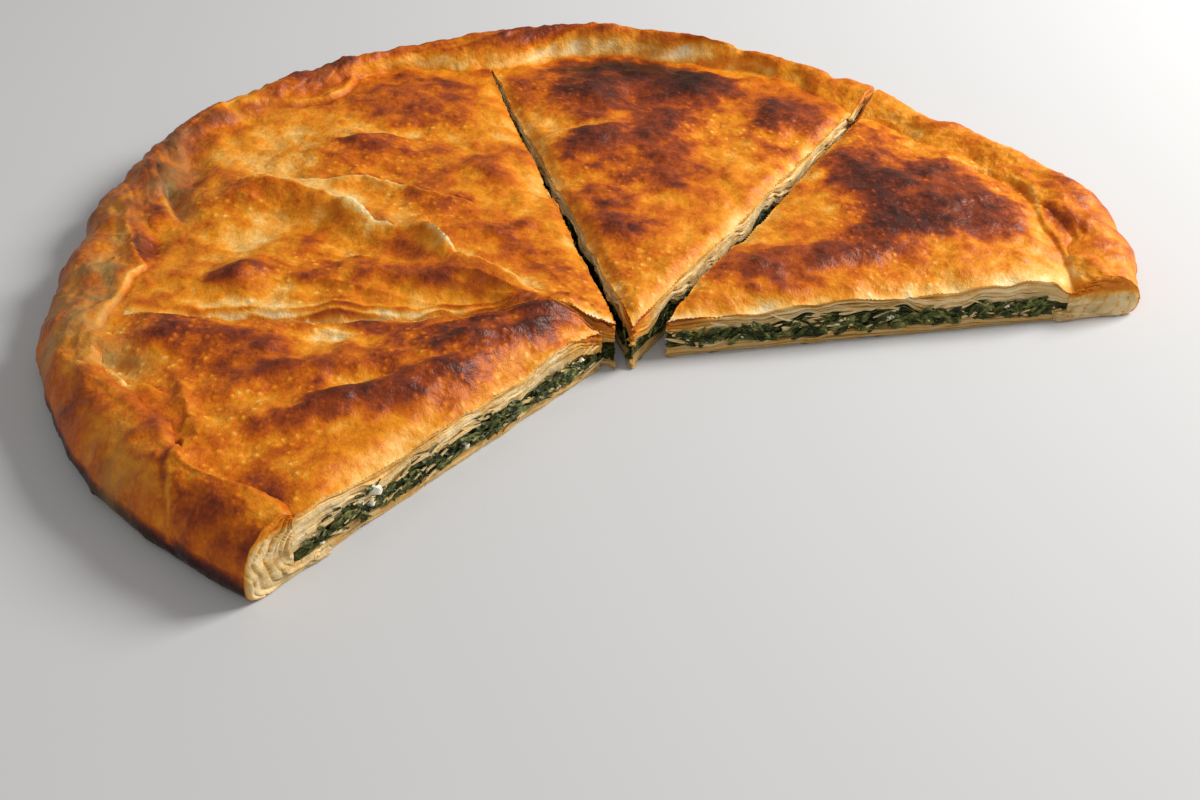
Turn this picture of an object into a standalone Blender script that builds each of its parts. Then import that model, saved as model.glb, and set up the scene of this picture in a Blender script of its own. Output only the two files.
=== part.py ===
"""Round spanakopita pie, cut in eighths, with the five neighbouring slices that are still in place.

Each slice is three solids: a base crust that turns up at the side and folds over the top, a spinach
filling, and a top crust tucked under the fold. Units are metres, +Z is up and the pie rests on z = 0.
"""
import math
from typing import NamedTuple

import bpy
import bmesh
from mathutils import Vector

PIE_NAME = "spanakopita_pie"
MM = 0.001

# Where the round pie's own centre lies from the origin, which is under the middle of what is left of it.
PIE_CENTRE = Vector((-3.25, -13.0)) * MM

# Thicknesses and gaps of the layers.
BASE_THICKNESS = 3.0 * MM
FILLING_THICKNESS = 6.0 * MM
FOLD_THICKNESS = 3.0 * MM
LAYER_GAP = 0.35 * MM
FOLD_CLEARANCE = 0.7 * MM
TIP_BLUNTNESS = 3.0 * MM

# The rim: how far the crust is rolled in from the outline, and how its outer side is rounded.
WALL_SHARE = 0.52
FOLD_THICKENING = 0.9
BULGE_HEIGHT = 5.5 * MM
FOOT_SETBACK = 4.5 * MM
FOOT_CHAMFER = 1.2 * MM
FILLING_SETBACK = 5.0 * MM
TAPER_LENGTH = 5.0 * MM
FOLD_RAMP = 20.0 * MM

# How the top crust sinks beside a knife cut.
EDGE_REACH = 11.0 * MM

# Shares of a slice's width at which its sections lie, closer together beside the cuts.
STATIONS = 15
# Shares of the way from the tip to the fold at which the top crust is sampled.
TOP_SAMPLES = 12
FILLING_SAMPLES = 5


class RimStation(NamedTuple):
    """The rim at one direction from the pie's centre, in degrees and millimetres."""

    angle: float
    radius: float
    fold_width: float
    inner_height: float
    crest_height: float
    crest_share: float


RIM = (
    RimStation(5, 177.5, 24.0, 13.0, 14.5, 0.50),
    RimStation(14, 184.0, 23.0, 14.0, 16.0, 0.50),
    RimStation(24, 187.0, 22.0, 15.0, 18.0, 0.50),
    RimStation(34, 182.0, 18.0, 15.5, 20.0, 0.50),
    RimStation(46, 176.0, 17.0, 15.5, 19.5, 0.50),
    RimStation(57, 177.0, 17.0, 17.5, 21.5, 0.45),
    RimStation(69, 175.5, 13.0, 18.0, 23.5, 0.45),
    RimStation(79, 174.0, 12.0, 20.0, 27.5, 0.50),
    RimStation(92, 174.5, 15.0, 20.0, 29.0, 0.50),
    RimStation(106, 174.0, 23.0, 19.0, 26.0, 0.60),
    RimStation(122, 175.5, 13.5, 19.0, 23.5, 0.50),
    RimStation(136, 180.0, 25.0, 18.0, 20.5, 0.50),
    RimStation(151, 179.0, 15.0, 17.0, 19.0, 0.40),
    RimStation(163, 176.5, 27.0, 16.5, 17.5, 0.40),
    RimStation(176, 172.5, 29.0, 17.0, 18.0, 0.40),
    RimStation(192, 173.0, 25.0, 17.5, 18.5, 0.35),
    RimStation(205, 173.0, 15.0, 19.0, 19.5, 0.10),
    RimStation(218, 173.5, 20.0, 21.5, 21.5, 0.05),
    RimStation(232, 172.0, 17.0, 22.0, 22.0, 0.05),
    RimStation(300, 174.0, 20.0, 18.0, 20.0, 0.30),
)


class Cut(NamedTuple):
    """A straight knife cut: a point on it near the middle of the pie, its direction in degrees, and how
    far it has opened there and at the rim, in millimetres."""

    x: float
    y: float
    angle: float
    inner_gap: float
    rim_gap: float


CUTS = {
    "right_end": Cut(22.0, -23.2, 14.3, 0.0, 0.0),
    "right": Cut(18.0, -22.0, 62.8, 5.6, 3.4),
    "back": Cut(7.5, -31.0, 106.9, 4.4, 0.4),
    "crease": Cut(4.0, -31.0, 143.5, 0.6, 0.3),
    "left": Cut(4.0, -31.0, 183.5, 1.6, 0.3),
    "front_end": Cut(-3.0, -37.0, 233.0, 0.0, 0.0),
}
CUT_LENGTH = 210.0 * MM


class Slice(NamedTuple):
    """A slice between two cuts, counter-clockwise, with the height of its top and its sag at each cut."""

    name: str
    first_cut: str
    last_cut: str
    level: float
    first_sag: float
    last_sag: float


SLICES = (
    Slice("slice_1", "left", "front_end", 18.0, 1.0, 1.5),
    Slice("slice_2", "crease", "left", 17.5, 0.8, 2.5),
    Slice("slice_3", "back", "crease", 17.5, 1.5, 2.0),
    Slice("slice_4", "right", "back", 18.0, 4.0, 2.0),
    Slice("slice_5", "right_end", "right", 16.5, 2.5, 1.5),
)


class Blister(NamedTuple):
    """A place where the top crust has puffed up, or sunk: centre, half sizes, turn in degrees, rise."""

    x: float
    y: float
    half_length: float
    half_width: float
    turn: float
    rise: float


BLISTERS = (
    # slice 1: the long ridge beside its open side, the one behind it, and the puffed tip
    Blister(-14, -40, 15, 7, 38, 5.0),
    Blister(-45, -71, 26, 8, 35, 5.0),
    Blister(-79, -89, 16, 9, 28, 3.5),
    Blister(-35, -50, 10, 7, 15, 4.0),
    Blister(-66, -59, 22, 8, 25, 3.0),
    Blister(-108, -52, 22, 10, 5, 2.5),
    # slice 2
    Blister(-110, -17, 8, 7, 0, 4.0),
    Blister(-60, -16, 34, 8, 3, 3.0),
    Blister(-90, 22, 26, 9, -18, 2.5),
    # slice 3
    Blister(-84, 76, 13, 9, -10, 4.0),
    Blister(-42, 63, 11, 9, 0, 3.0),
    Blister(-76, 117, 20, 10, -20, 2.5),
    Blister(-58, 32, 20, 10, -30, 2.0),
    # slice 4
    Blister(-6, 112, 10, 14, 0, 4.5),
    Blister(32, 133, 30, 15, -8, 4.0),
    Blister(-5, 83, 14, 10, 0, 4.0),
    Blister(22, 74, 10, 17, -5, 3.0),
    Blister(62, 117, 12, 8, -10, 2.5),
    Blister(4, 27, 12, 12, 0, 2.0),
    # slice 5
    Blister(114, 58, 30, 18, -30, 5.0),
    Blister(95, 37, 13, 8, 10, 2.5),
    Blister(84, 80, 15, 9, 30, 3.0),
    Blister(66, 13, 26, 9, 18, 3.0),
)

CRUST_BASE = ((0.55, 0.27, 0.09, 1.0), 0.55)
CRUST_TOP = ((0.50, 0.20, 0.05, 1.0), 0.45)
SPINACH = ((0.045, 0.07, 0.02, 1.0), 0.5)


def clear_scene() -> None:
    """Removes every object and collection that the file opens with."""
    for thing in list(bpy.data.objects):
        bpy.data.objects.remove(thing, do_unlink=True)
    for collection in list(bpy.data.collections):
        bpy.data.collections.remove(collection)


def ease(share: float) -> float:
    """Goes smoothly from 0 to 1 as share does, and stays level outside that range."""
    share = min(max(share, 0.0), 1.0)
    return share * share * (3.0 - 2.0 * share)


def rim_at(angle: float) -> RimStation:
    """The rim in a direction from the pie's centre, read smoothly between its stations."""
    angle %= 360.0
    last = len(RIM) - 1
    after = next((i for i, station in enumerate(RIM) if station.angle > angle), 0)
    low = RIM[after - 1] if after else RIM[last]
    high = RIM[after]
    span = (high.angle - low.angle) % 360.0
    share = ease(((angle - low.angle) % 360.0) / span)
    return RimStation(angle, *(a + (b - a) * share for a, b in zip(low[1:], high[1:])))


def polar(point: Vector) -> tuple:
    """Distance in metres and direction in degrees of a point from the pie's centre."""
    away = point - PIE_CENTRE
    return away.length, math.degrees(math.atan2(away.y, away.x))


def fold_share(point: Vector) -> float:
    """How far across the fold a point lies: 0 at the fold's inner edge and 1 at the outline."""
    distance, angle = polar(point)
    rim = rim_at(angle)
    return 1.0 - (rim.radius * MM - distance) / (rim.fold_width * MM)


def fold_height(point: Vector) -> float:
    """Height of the fold's outer skin over a point."""
    share = min(max(fold_share(point), 0.0), 1.0)
    rim = rim_at(polar(point)[1])
    crest = rim.crest_height * MM
    if share < rim.crest_share:
        inner = rim.inner_height * MM
        return inner + (crest - inner) * math.sin(0.5 * math.pi * share / rim.crest_share)
    beyond = (share - rim.crest_share) / (1.0 - rim.crest_share)
    return BULGE_HEIGHT + (crest - BULGE_HEIGHT) * math.sqrt(max(0.0, 1.0 - beyond * beyond))


def fold_underside(point: Vector) -> float:
    """Height of the fold's inner skin over a point: the fold thickens towards the side wall."""
    share = min(max(fold_share(point), 0.0), 1.0)
    return fold_height(point) - FOLD_THICKNESS * (1.0 + FOLD_THICKENING * share)


def blister_height(point: Vector) -> float:
    """Sum of the blisters' rises at a point."""
    total = 0.0
    for blister in BLISTERS:
        away = point - PIE_CENTRE - Vector((blister.x, blister.y)) * MM
        turn = math.radians(blister.turn)
        along = away.x * math.cos(turn) + away.y * math.sin(turn)
        across = away.y * math.cos(turn) - away.x * math.sin(turn)
        spread = (along / (blister.half_length * MM)) ** 2 + (across / (blister.half_width * MM)) ** 2
        total += blister.rise * MM * math.exp(-spread)
    return total


class CutLine:
    """One side of a cut, as the line that bounds a slice."""

    def __init__(self, cut: Cut, inward: float):
        """inward is +1 where the slice lies counter-clockwise of the cut and -1 where clockwise."""
        narrowing = math.atan(0.5 * (cut.inner_gap - cut.rim_gap) * MM / CUT_LENGTH)
        self.angle = cut.angle - inward * math.degrees(narrowing)
        aim = math.radians(self.angle)
        self.direction = Vector((math.cos(aim), math.sin(aim)))
        self.inward = Vector((-self.direction.y, self.direction.x)) * inward
        self.point = PIE_CENTRE + (Vector((cut.x, cut.y)) + self.inward * 0.5 * cut.inner_gap) * MM

    def distance(self, point: Vector) -> float:
        """How far inside the slice a point is from this cut."""
        return (point - self.point).dot(self.inward)

    def meets(self, other: "CutLine") -> Vector:
        """Where the two cuts would cross: the slice's tip."""
        turn = self.direction.cross(other.direction)
        return self.point + self.direction * ((other.point - self.point).cross(other.direction) / turn)


class SliceShape:
    """Places and heights of one slice's layers."""

    def __init__(self, spec: Slice):
        self.spec = spec
        self.first = CutLine(CUTS[spec.first_cut], 1.0)
        self.last = CutLine(CUTS[spec.last_cut], -1.0)
        self.tip = self.first.meets(self.last)

    def direction(self, share: float) -> Vector:
        """Direction from the tip at a share of the slice's width."""
        angle = math.radians(self.first.angle + (self.last.angle - self.first.angle) * share)
        return Vector((math.cos(angle), math.sin(angle)))

    def reach(self, direction: Vector, share: float) -> float:
        """Distance from the tip, along a direction, to where fold_share has the given value."""
        low, high = 0.0, 0.3
        for _ in range(40):
            middle = (low + high) / 2
            if fold_share(self.tip + direction * middle) < share:
                low = middle
            else:
                high = middle
        return low

    def ring(self, share: float, profile: list) -> list:
        """A section's points in space, from its profile of distances from the tip and heights."""
        direction = self.direction(share)
        return [(self.tip + direction * reach, height) for reach, height in profile]

    def top_height(self, point: Vector) -> float:
        """Height of the top crust's upper skin over a point."""
        under = fold_underside(point) - FOLD_CLEARANCE
        if fold_share(point) >= 0.0:
            return under
        height = self.spec.level * MM + blister_height(point)
        for line, sag in ((self.first, self.spec.first_sag), (self.last, self.spec.last_sag)):
            height -= sag * MM * (1.0 - ease(line.distance(point) / EDGE_REACH)) ** 2
        distance, angle = polar(point)
        rim = rim_at(angle)
        to_fold = (rim.radius - rim.fold_width) * MM - distance
        return under + (height - under) * ease(to_fold / FOLD_RAMP)


def shares(count: int) -> list:
    """Evenly spaced angles on a half circle, seen from the side: shares that crowd at both ends."""
    even = [i / (count - 1) for i in range(count)]
    return [0.5 * s + 0.5 * (0.5 - 0.5 * math.cos(math.pi * s)) for s in even]


def base_section(shape: SliceShape, share: float) -> list:
    """The base crust's section: floor, side, fold over the top, and back inside."""
    direction = shape.direction(share)
    out = shape.reach(direction, 1.0)
    fold = shape.reach(direction, 0.0)
    wall = shape.reach(direction, WALL_SHARE)
    profile = [(TIP_BLUNTNESS, 0.0), (0.3 * out, 0.0), (0.65 * out, 0.0), (out - FOOT_SETBACK, 0.0)]
    profile += [(out - FOOT_CHAMFER / 2, FOOT_CHAMFER), (out, BULGE_HEIGHT)]
    for s in (0.97, 0.9, 0.78, 0.62, 0.45, 0.28, 0.12, 0.0):
        reach = shape.reach(direction, s)
        profile.append((reach, fold_height(shape.tip + direction * reach)))
    for s in (0.0, 0.26, WALL_SHARE):
        reach = shape.reach(direction, s)
        profile.append((reach, fold_underside(shape.tip + direction * reach)))
    profile += [(wall, BASE_THICKNESS), (0.85 * fold, BASE_THICKNESS), (0.6 * fold, BASE_THICKNESS)]
    profile += [(0.3 * fold, BASE_THICKNESS), (TIP_BLUNTNESS, BASE_THICKNESS)]
    return shape.ring(share, profile)


def filling_section(shape: SliceShape, share: float) -> list:
    """The filling's section: a flat lens that tapers out before the fold."""
    direction = shape.direction(share)
    fold = shape.reach(direction, 0.0)
    end = fold - FILLING_SETBACK
    bottom = BASE_THICKNESS + LAYER_GAP
    steps = [i / (FILLING_SAMPLES - 1) for i in range(FILLING_SAMPLES)]
    reaches = [TIP_BLUNTNESS + (end - TAPER_LENGTH - TIP_BLUNTNESS) * step for step in steps]
    profile = [(reach, bottom) for reach in reaches]
    profile.append((end, bottom + 0.25 * FILLING_THICKNESS))
    profile += [(reach, bottom + FILLING_THICKNESS) for reach in reversed(reaches)]
    return shape.ring(share, profile)


def top_section(shape: SliceShape, share: float) -> list:
    """The top crust's section: puffed upper skin, tucked under the fold, and a plain underside."""
    direction = shape.direction(share)
    fold = shape.reach(direction, 0.0)
    wall = shape.reach(direction, WALL_SHARE) - 2 * LAYER_GAP
    end = fold - FILLING_SETBACK
    floor = BASE_THICKNESS + LAYER_GAP
    ceiling = floor + FILLING_THICKNESS + LAYER_GAP
    profile = [(TIP_BLUNTNESS, ceiling), (0.35 * end, ceiling), (0.7 * end, ceiling)]
    profile += [(end - TAPER_LENGTH + LAYER_GAP, ceiling), (end + LAYER_GAP, floor + 0.5 * FILLING_THICKNESS)]
    profile += [(end + 2.5 * LAYER_GAP, floor), (wall, floor)]
    for s in (WALL_SHARE, 0.26, 0.0):
        reach = min(shape.reach(direction, s), wall)
        profile.append((reach, fold_underside(shape.tip + direction * reach) - FOLD_CLEARANCE))
    for i in range(TOP_SAMPLES, -1, -1):
        reach = TIP_BLUNTNESS + (fold - 2.0 * MM - TIP_BLUNTNESS) * i / TOP_SAMPLES
        profile.append((reach, shape.top_height(shape.tip + direction * reach)))
    return shape.ring(share, profile)


def loft(name: str, rings: list) -> bpy.types.Mesh:
    """One closed body through a row of like sections, capped at both ends.

    Every four-sided patch is split on the same diagonal in plan, so layers that lie on each other
    stay parallel.
    """
    work = bmesh.new()
    rows = [[work.verts.new((place.x, place.y, height)) for place, height in ring] for ring in rings]
    count = len(rows[0])
    for row, beyond in zip(rows, rows[1:]):
        for i in range(count):
            j = (i + 1) % count
            a, b, c, d = row[i], row[j], beyond[j], beyond[i]
            grows = (b.co - rows[0][0].co).length > (a.co - rows[0][0].co).length
            halves = ((a, b, c), (a, c, d)) if grows else ((a, b, d), (b, c, d))
            for half in halves:
                work.faces.new(half)
    caps = [work.faces.new(list(reversed(rows[0]))), work.faces.new(rows[-1])]
    work.normal_update()
    bmesh.ops.triangulate(work, faces=caps, ngon_method="EAR_CLIP")
    bmesh.ops.recalc_face_normals(work, faces=work.faces[:])
    if work.calc_volume(signed=True) < 0.0:
        bmesh.ops.reverse_faces(work, faces=work.faces[:])
    mesh = bpy.data.meshes.new(name)
    work.to_mesh(mesh)
    work.free()
    mesh.shade_smooth()
    mesh.set_sharp_from_angle(angle=math.radians(35))
    return mesh


def make_material(name: str, color: tuple, roughness: float) -> bpy.types.Material:
    """A Principled material of one colour and roughness."""
    material = bpy.data.materials.new(name)
    material.use_nodes = True
    shader = material.node_tree.nodes["Principled BSDF"]
    shader.inputs["Base Color"].default_value = color
    shader.inputs["Roughness"].default_value = roughness
    shader.inputs["Metallic"].default_value = 0.0
    material.diffuse_color = color
    return material


def add_layer(collection, shape: SliceShape, layer: str, section, look: tuple) -> None:
    """Adds one layer of one slice as a named object with its own material."""
    name = f"{shape.spec.name}_{layer}"
    mesh = loft(name, [section(shape, share) for share in shares(STATIONS)])
    mesh.materials.append(make_material(name, *look))
    collection.objects.link(bpy.data.objects.new(name, mesh))


def main() -> None:
    """Builds the five slices, layer by layer."""
    clear_scene()
    collection = bpy.data.collections.new(PIE_NAME)
    bpy.context.scene.collection.children.link(collection)
    for spec in SLICES:
        shape = SliceShape(spec)
        add_layer(collection, shape, "base", base_section, CRUST_BASE)
        add_layer(collection, shape, "filling", filling_section, SPINACH)
        add_layer(collection, shape, "top", top_section, CRUST_TOP)


main()
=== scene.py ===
"""Looks of a round spanakopita pie of which five neighbouring slices are left.

The slices' places come from the pie's own plan: knife cuts as straight lines, the rim as a ring of
stations, and a list of the blisters, laps and brown patches of the crust. Lengths in the tables are in
millimetres about the pie's centre; everything built is in metres.
"""
import logging
import math
from contextlib import contextmanager
from dataclasses import dataclass, field
from enum import Enum, IntEnum
from typing import Callable, Iterator, Sequence

import bpy
import numpy as np
from mathutils import Matrix, Vector


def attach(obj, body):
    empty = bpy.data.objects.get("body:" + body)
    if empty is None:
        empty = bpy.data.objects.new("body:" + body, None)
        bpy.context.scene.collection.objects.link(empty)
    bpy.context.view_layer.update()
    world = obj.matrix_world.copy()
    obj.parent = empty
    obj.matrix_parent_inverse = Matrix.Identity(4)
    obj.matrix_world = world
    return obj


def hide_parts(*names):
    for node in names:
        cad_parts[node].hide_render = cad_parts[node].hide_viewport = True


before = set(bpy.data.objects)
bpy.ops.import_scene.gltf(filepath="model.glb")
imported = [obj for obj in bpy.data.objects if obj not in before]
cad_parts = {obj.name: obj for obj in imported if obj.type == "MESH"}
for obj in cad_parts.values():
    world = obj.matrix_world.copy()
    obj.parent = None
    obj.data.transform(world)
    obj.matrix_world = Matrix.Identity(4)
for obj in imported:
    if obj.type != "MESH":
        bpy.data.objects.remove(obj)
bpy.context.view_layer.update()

MM = 0.001
ON_PLANE = 1e-6
BODY = "root"
LOG = logging.getLogger("spanakopita")

Places = np.ndarray
Random = np.random.RandomState
Tree = bpy.types.NodeTree
Piece = bpy.types.Object


# ---------------------------------------------------------------- small helpers


def ease(share: Places) -> Places:
    """Smooth step from 0 to 1, level outside that range."""
    share = np.clip(share, 0.0, 1.0)
    return share * share * (3.0 - 2.0 * share)


def deselect_all() -> None:
    """Leaves object mode with nothing selected."""
    if bpy.context.object and bpy.context.object.mode != "OBJECT":
        bpy.ops.object.mode_set(mode="OBJECT")
    bpy.ops.object.select_all(action="DESELECT")


def activate(piece: Piece) -> None:
    """Makes one piece the only selected and the active one."""
    deselect_all()
    piece.select_set(True)
    bpy.context.view_layer.objects.active = piece


def read_places(piece: Piece) -> Places:
    """Vertex positions as an array of rows."""
    places = np.empty(len(piece.data.vertices) * 3, np.float32)
    piece.data.vertices.foreach_get("co", places)
    return places.reshape(-1, 3).astype(float)


def write_places(piece: Piece, places: Places) -> None:
    """Moves the vertices to an array of positions."""
    piece.data.vertices.foreach_set("co", places.astype(np.float32).ravel())
    piece.data.update()


def selected(piece: Piece) -> Places:
    """Mask of the selected vertices."""
    mask = np.empty(len(piece.data.vertices), bool)
    piece.data.vertices.foreach_get("select", mask)
    return mask


@contextmanager
def edit_mode(piece: Piece, select: str = "") -> Iterator[None]:
    """Edit mode on one piece for the length of a block.

    Args:
        piece: the piece to edit.
        select: "SELECT" to start with all of it selected, "DESELECT" with nothing, or "" as it was.

    Yields:
        Nothing.
    """
    activate(piece)
    bpy.ops.object.mode_set(mode="EDIT")
    if select:
        bpy.ops.mesh.select_all(action=select)
    yield
    bpy.ops.object.mode_set(mode="OBJECT")


def select_where(piece: Piece, mask: Places) -> None:
    """Selects the vertices of a mask, in object mode."""
    with edit_mode(piece, "DESELECT"):
        bpy.ops.mesh.select_mode(type="VERT")
    piece.data.vertices.foreach_set("select", mask)


def new_grid(name: str, columns: int, rows: int) -> Piece:
    """A flat unit grid to be shaped.

    Args:
        name: name of the piece.
        columns: faces along X.
        rows: faces along Y.

    Returns:
        The new grid, centred on the origin.
    """
    deselect_all()
    bpy.ops.mesh.primitive_grid_add(x_subdivisions=columns, y_subdivisions=rows, size=1.0)
    piece = bpy.context.object
    piece.name = name
    piece.data.name = name
    return piece


def shape_grid(piece: Piece, route: Callable[[Places, Places], Places]) -> None:
    """Moves a unit grid's vertices to where a function of its two shares, 0 to 1, puts them."""
    flat = read_places(piece)
    write_places(piece, route(flat[:, 0] + 0.5, flat[:, 1] + 0.5))


def remove_where(piece: Piece, mask: Places) -> None:
    """Deletes the vertices of a mask."""
    select_where(piece, mask)
    with edit_mode(piece):
        bpy.ops.mesh.delete(type="VERT")


def trim(piece: Piece, lines: Sequence["CutLine"]) -> None:
    """Cuts off all that lies outside the given sides of a slice.

    Args:
        piece: the piece to cut.
        lines: the sides, each with its inward direction.
    """
    for line in lines:
        with edit_mode(piece, "SELECT"):
            bpy.ops.mesh.bisect(
                plane_co=line.point.to_3d(), plane_no=-line.inward.to_3d(), clear_outer=True,
                use_fill=False, threshold=1e-7,
            )


def face_outwards(piece: Piece) -> None:
    """Recalculates the normals so that all faces point out."""
    with edit_mode(piece, "SELECT"):
        bpy.ops.mesh.normals_make_consistent(inside=False)


def thicken(piece: Piece, thickness: float, offset: float = -1.0) -> None:
    """Gives open sheets a thickness in millimetres: inwards, or to both sides with an offset of 0.

    Args:
        piece: the piece of sheets.
        thickness: thickness in millimetres.
        offset: where it lies: -1 is inwards and 0 to both sides.
    """
    activate(piece)
    modifier = piece.modifiers.new("thickness", "SOLIDIFY")
    modifier.thickness = thickness * MM
    modifier.offset = offset
    bpy.ops.object.modifier_apply(modifier=modifier.name)


def smooth_by_angle(piece: Piece, degrees: float) -> None:
    """Shades smooth, with edges sharper than an angle left sharp."""
    activate(piece)
    bpy.ops.object.shade_smooth_by_angle(angle=math.radians(degrees))


def join(pieces: Sequence[Piece], name: str) -> Piece:
    """Joins pieces into one named piece.

    Args:
        pieces: the pieces, of which the first takes in the others.
        name: its new name.

    Returns:
        The joined piece.
    """
    deselect_all()
    for piece in pieces:
        piece.select_set(True)
    bpy.context.view_layer.objects.active = pieces[0]
    bpy.ops.object.join()
    pieces[0].name = name
    pieces[0].data.name = name
    return pieces[0]


def scatter(name: str, model: Piece, shapes: Sequence[Places]) -> Piece:
    """Copies a small model many times into one piece.

    Args:
        name: name of the new piece.
        model: the model, which is removed.
        shapes: one array of vertex positions for each copy.

    Returns:
        The piece of all copies.
    """
    faces = np.array([list(face.vertices) for face in model.data.polygons])
    count = len(model.data.vertices)
    mesh = bpy.data.meshes.new(name)
    mesh.from_pydata(
        np.concatenate(shapes).tolist(),
        [],
        np.concatenate([faces + count * number for number in range(len(shapes))]).tolist(),
    )
    bpy.data.objects.remove(model)
    piece = bpy.data.objects.new(name, mesh)
    bpy.context.scene.collection.objects.link(piece)
    return piece


def paint(piece: Piece, name: str, values: Places) -> None:
    """Stores one number per vertex as a named attribute for the materials."""
    layer = piece.data.attributes.get(name) or piece.data.attributes.new(name, "FLOAT", "POINT")
    layer.data.foreach_set("value", values.astype(np.float32))


def painted(piece: Piece, name: str) -> Places:
    """Reads a vertex attribute, zero where it was never painted.

    Args:
        piece: the piece.
        name: the attribute's name.

    Returns:
        One value for each vertex.
    """
    values = np.zeros(len(piece.data.vertices), np.float32)
    layer = piece.data.attributes.get(name)
    if layer:
        layer.data.foreach_get("value", values)
    return values.astype(float)


def unpaint(piece: Piece, *names: str) -> None:
    """Removes vertex attributes that only the building needed."""
    for name in names:
        piece.data.attributes.remove(piece.data.attributes[name])


@dataclass(frozen=True)
class Ripple:
    """Seeded smooth noise over a plane, about -1 to 1."""

    seed: int
    cells: int = 128
    gain: float = 1.3

    def at(self, x: Places, y: Places) -> Places:
        """Noise with one cell per unit of x and y.

        Args:
            x: places across, in cells.
            y: places up, in cells.

        Returns:
            The noise at each place.
        """
        lattice = Random(self.seed).uniform(-1.0, 1.0, (self.cells, self.cells))
        column = np.floor(x).astype(int)
        row = np.floor(y).astype(int)
        across = ease(x - column)
        up = ease(y - row)
        left, right = column % self.cells, (column + 1) % self.cells
        low, high = row % self.cells, (row + 1) % self.cells
        bottom = lattice[left, low] * (1 - across) + lattice[right, low] * across
        top = lattice[left, high] * (1 - across) + lattice[right, high] * across
        return self.gain * (bottom * (1 - up) + top * up)

    def rough(self, x: Places, y: Places, octaves: int) -> Places:
        """Several octaves of the noise, each turned, and half as large and strong as the one before.

        Args:
            x: places across, in cells.
            y: places up, in cells.
            octaves: how many octaves.

        Returns:
            The noise at each place.
        """
        total = np.zeros_like(x)
        for octave in range(octaves):
            scale = 2.0**octave
            turned_x = 0.8 * x + 0.6 * y + 17.3 * octave
            turned_y = 0.8 * y - 0.6 * x + 9.1 * octave
            total += self.at(turned_x * scale, turned_y * scale) / scale
        return total


@dataclass(frozen=True)
class Bubbles:
    """Small round bubbles on a jittered lattice, at most one to a cell."""

    seed: int
    cell: float
    chance: float
    radius: float
    count: int = 97

    def at(self, x: Places, y: Places) -> Places:
        """Height share of the bubbles, 0 to 1, at places in millimetres.

        Args:
            x: places across in millimetres.
            y: places up in millimetres.

        Returns:
            The height share at each place.
        """
        rng = Random(self.seed)
        count = self.count
        places = rng.uniform(0.15, 0.85, (count, count, 2))
        sizes = rng.uniform(0.55, 1.0, (count, count)) * (rng.uniform(size=(count, count)) < self.chance)
        column = np.floor(x / self.cell).astype(int)
        row = np.floor(y / self.cell).astype(int)
        best = np.zeros_like(x)
        for i in (-1, 0, 1):
            for j in (-1, 0, 1):
                a, b = (column + i) % count, (row + j) % count
                away_x = x / self.cell - (column + i) - places[a, b, 0]
                away_y = y / self.cell - (row + j) - places[a, b, 1]
                size = np.maximum(sizes[a, b] * self.radius / self.cell, 1e-6)
                share = np.clip(1.0 - (away_x**2 + away_y**2) / size**2, 0.0, 1.0)
                best = np.maximum(best, share * sizes[a, b])
        return best


# ---------------------------------------------------------------- the plan of the pie


@dataclass(frozen=True)
class CutLine:
    """One side of a knife cut, as the line that bounds a slice."""

    point: Vector
    direction: Vector
    inward: Vector

    def inside(self, x: Places, y: Places) -> Places:
        """How far inside the slice places are, in metres."""
        return (x - self.point.x) * self.inward.x + (y - self.point.y) * self.inward.y

    def meets(self, other: "CutLine") -> Vector:
        """Where two cuts would cross."""
        turn = self.direction.cross(other.direction)
        return self.point + self.direction * ((other.point - self.point).cross(other.direction) / turn)


class Cut(Enum):
    """The knife cuts: a point on each, its direction in degrees, its opening there and at the rim."""

    RIGHT_END = (22.0, -23.2, 14.3, 0.0, 0.0)
    RIGHT = (18.0, -22.0, 62.8, 5.6, 3.4)
    BACK = (7.5, -31.0, 106.9, 4.4, 0.4)
    CREASE = (4.0, -31.0, 143.5, 0.0, 0.0)
    LEFT = (4.0, -31.0, 183.5, 1.2, 0.0)
    FRONT_END = (-3.0, -37.0, 233.0, 0.0, 0.0)

    @property
    def heading(self) -> float:
        """Direction in degrees."""
        return self.value[2]


# the cuts where the pie ends
PIE_ENDS = (Cut.RIGHT_END, Cut.FRONT_END)
CUT_LENGTH = 210.0


@dataclass(frozen=True)
class SideLook:
    """How the top crust ends at a cut: how far it sinks, over what reach, how pale, how ragged.

    It sinks only beyond a distance from the slice's tip.
    """

    sag: float
    reach: float
    pale: float
    pale_reach: float
    ragged: float
    start: float = 0.0


@dataclass(frozen=True)
class SliceSpec:
    """A slice between two cuts, counter-clockwise: top level, its two sides, and how brown it is."""

    name: str
    first_cut: Cut
    last_cut: Cut
    level: float
    first_look: SideLook
    last_look: SideLook
    bake: float


@dataclass(frozen=True)
class Patch:
    """An oval of the crust: place, half sizes, turn in degrees, rise, and how much browner and damper."""

    x: float
    y: float
    half_length: float
    half_width: float
    turn: float
    rise: float
    bake: float
    damp: float = 0.0

    def weight(self, x: Places, y: Places) -> Places:
        """Share of the patch, 0 to 1, at places in millimetres.

        Args:
            x: places to the right of the pie's centre in millimetres.
            y: places behind it in millimetres.

        Returns:
            The share at each place.
        """
        turn = math.radians(self.turn)
        away_x, away_y = x - self.x, y - self.y
        along = away_x * math.cos(turn) + away_y * math.sin(turn)
        across = away_y * math.cos(turn) - away_x * math.sin(turn)
        return np.exp(-((along / self.half_length) ** 2) - (across / self.half_width) ** 2)


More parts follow.
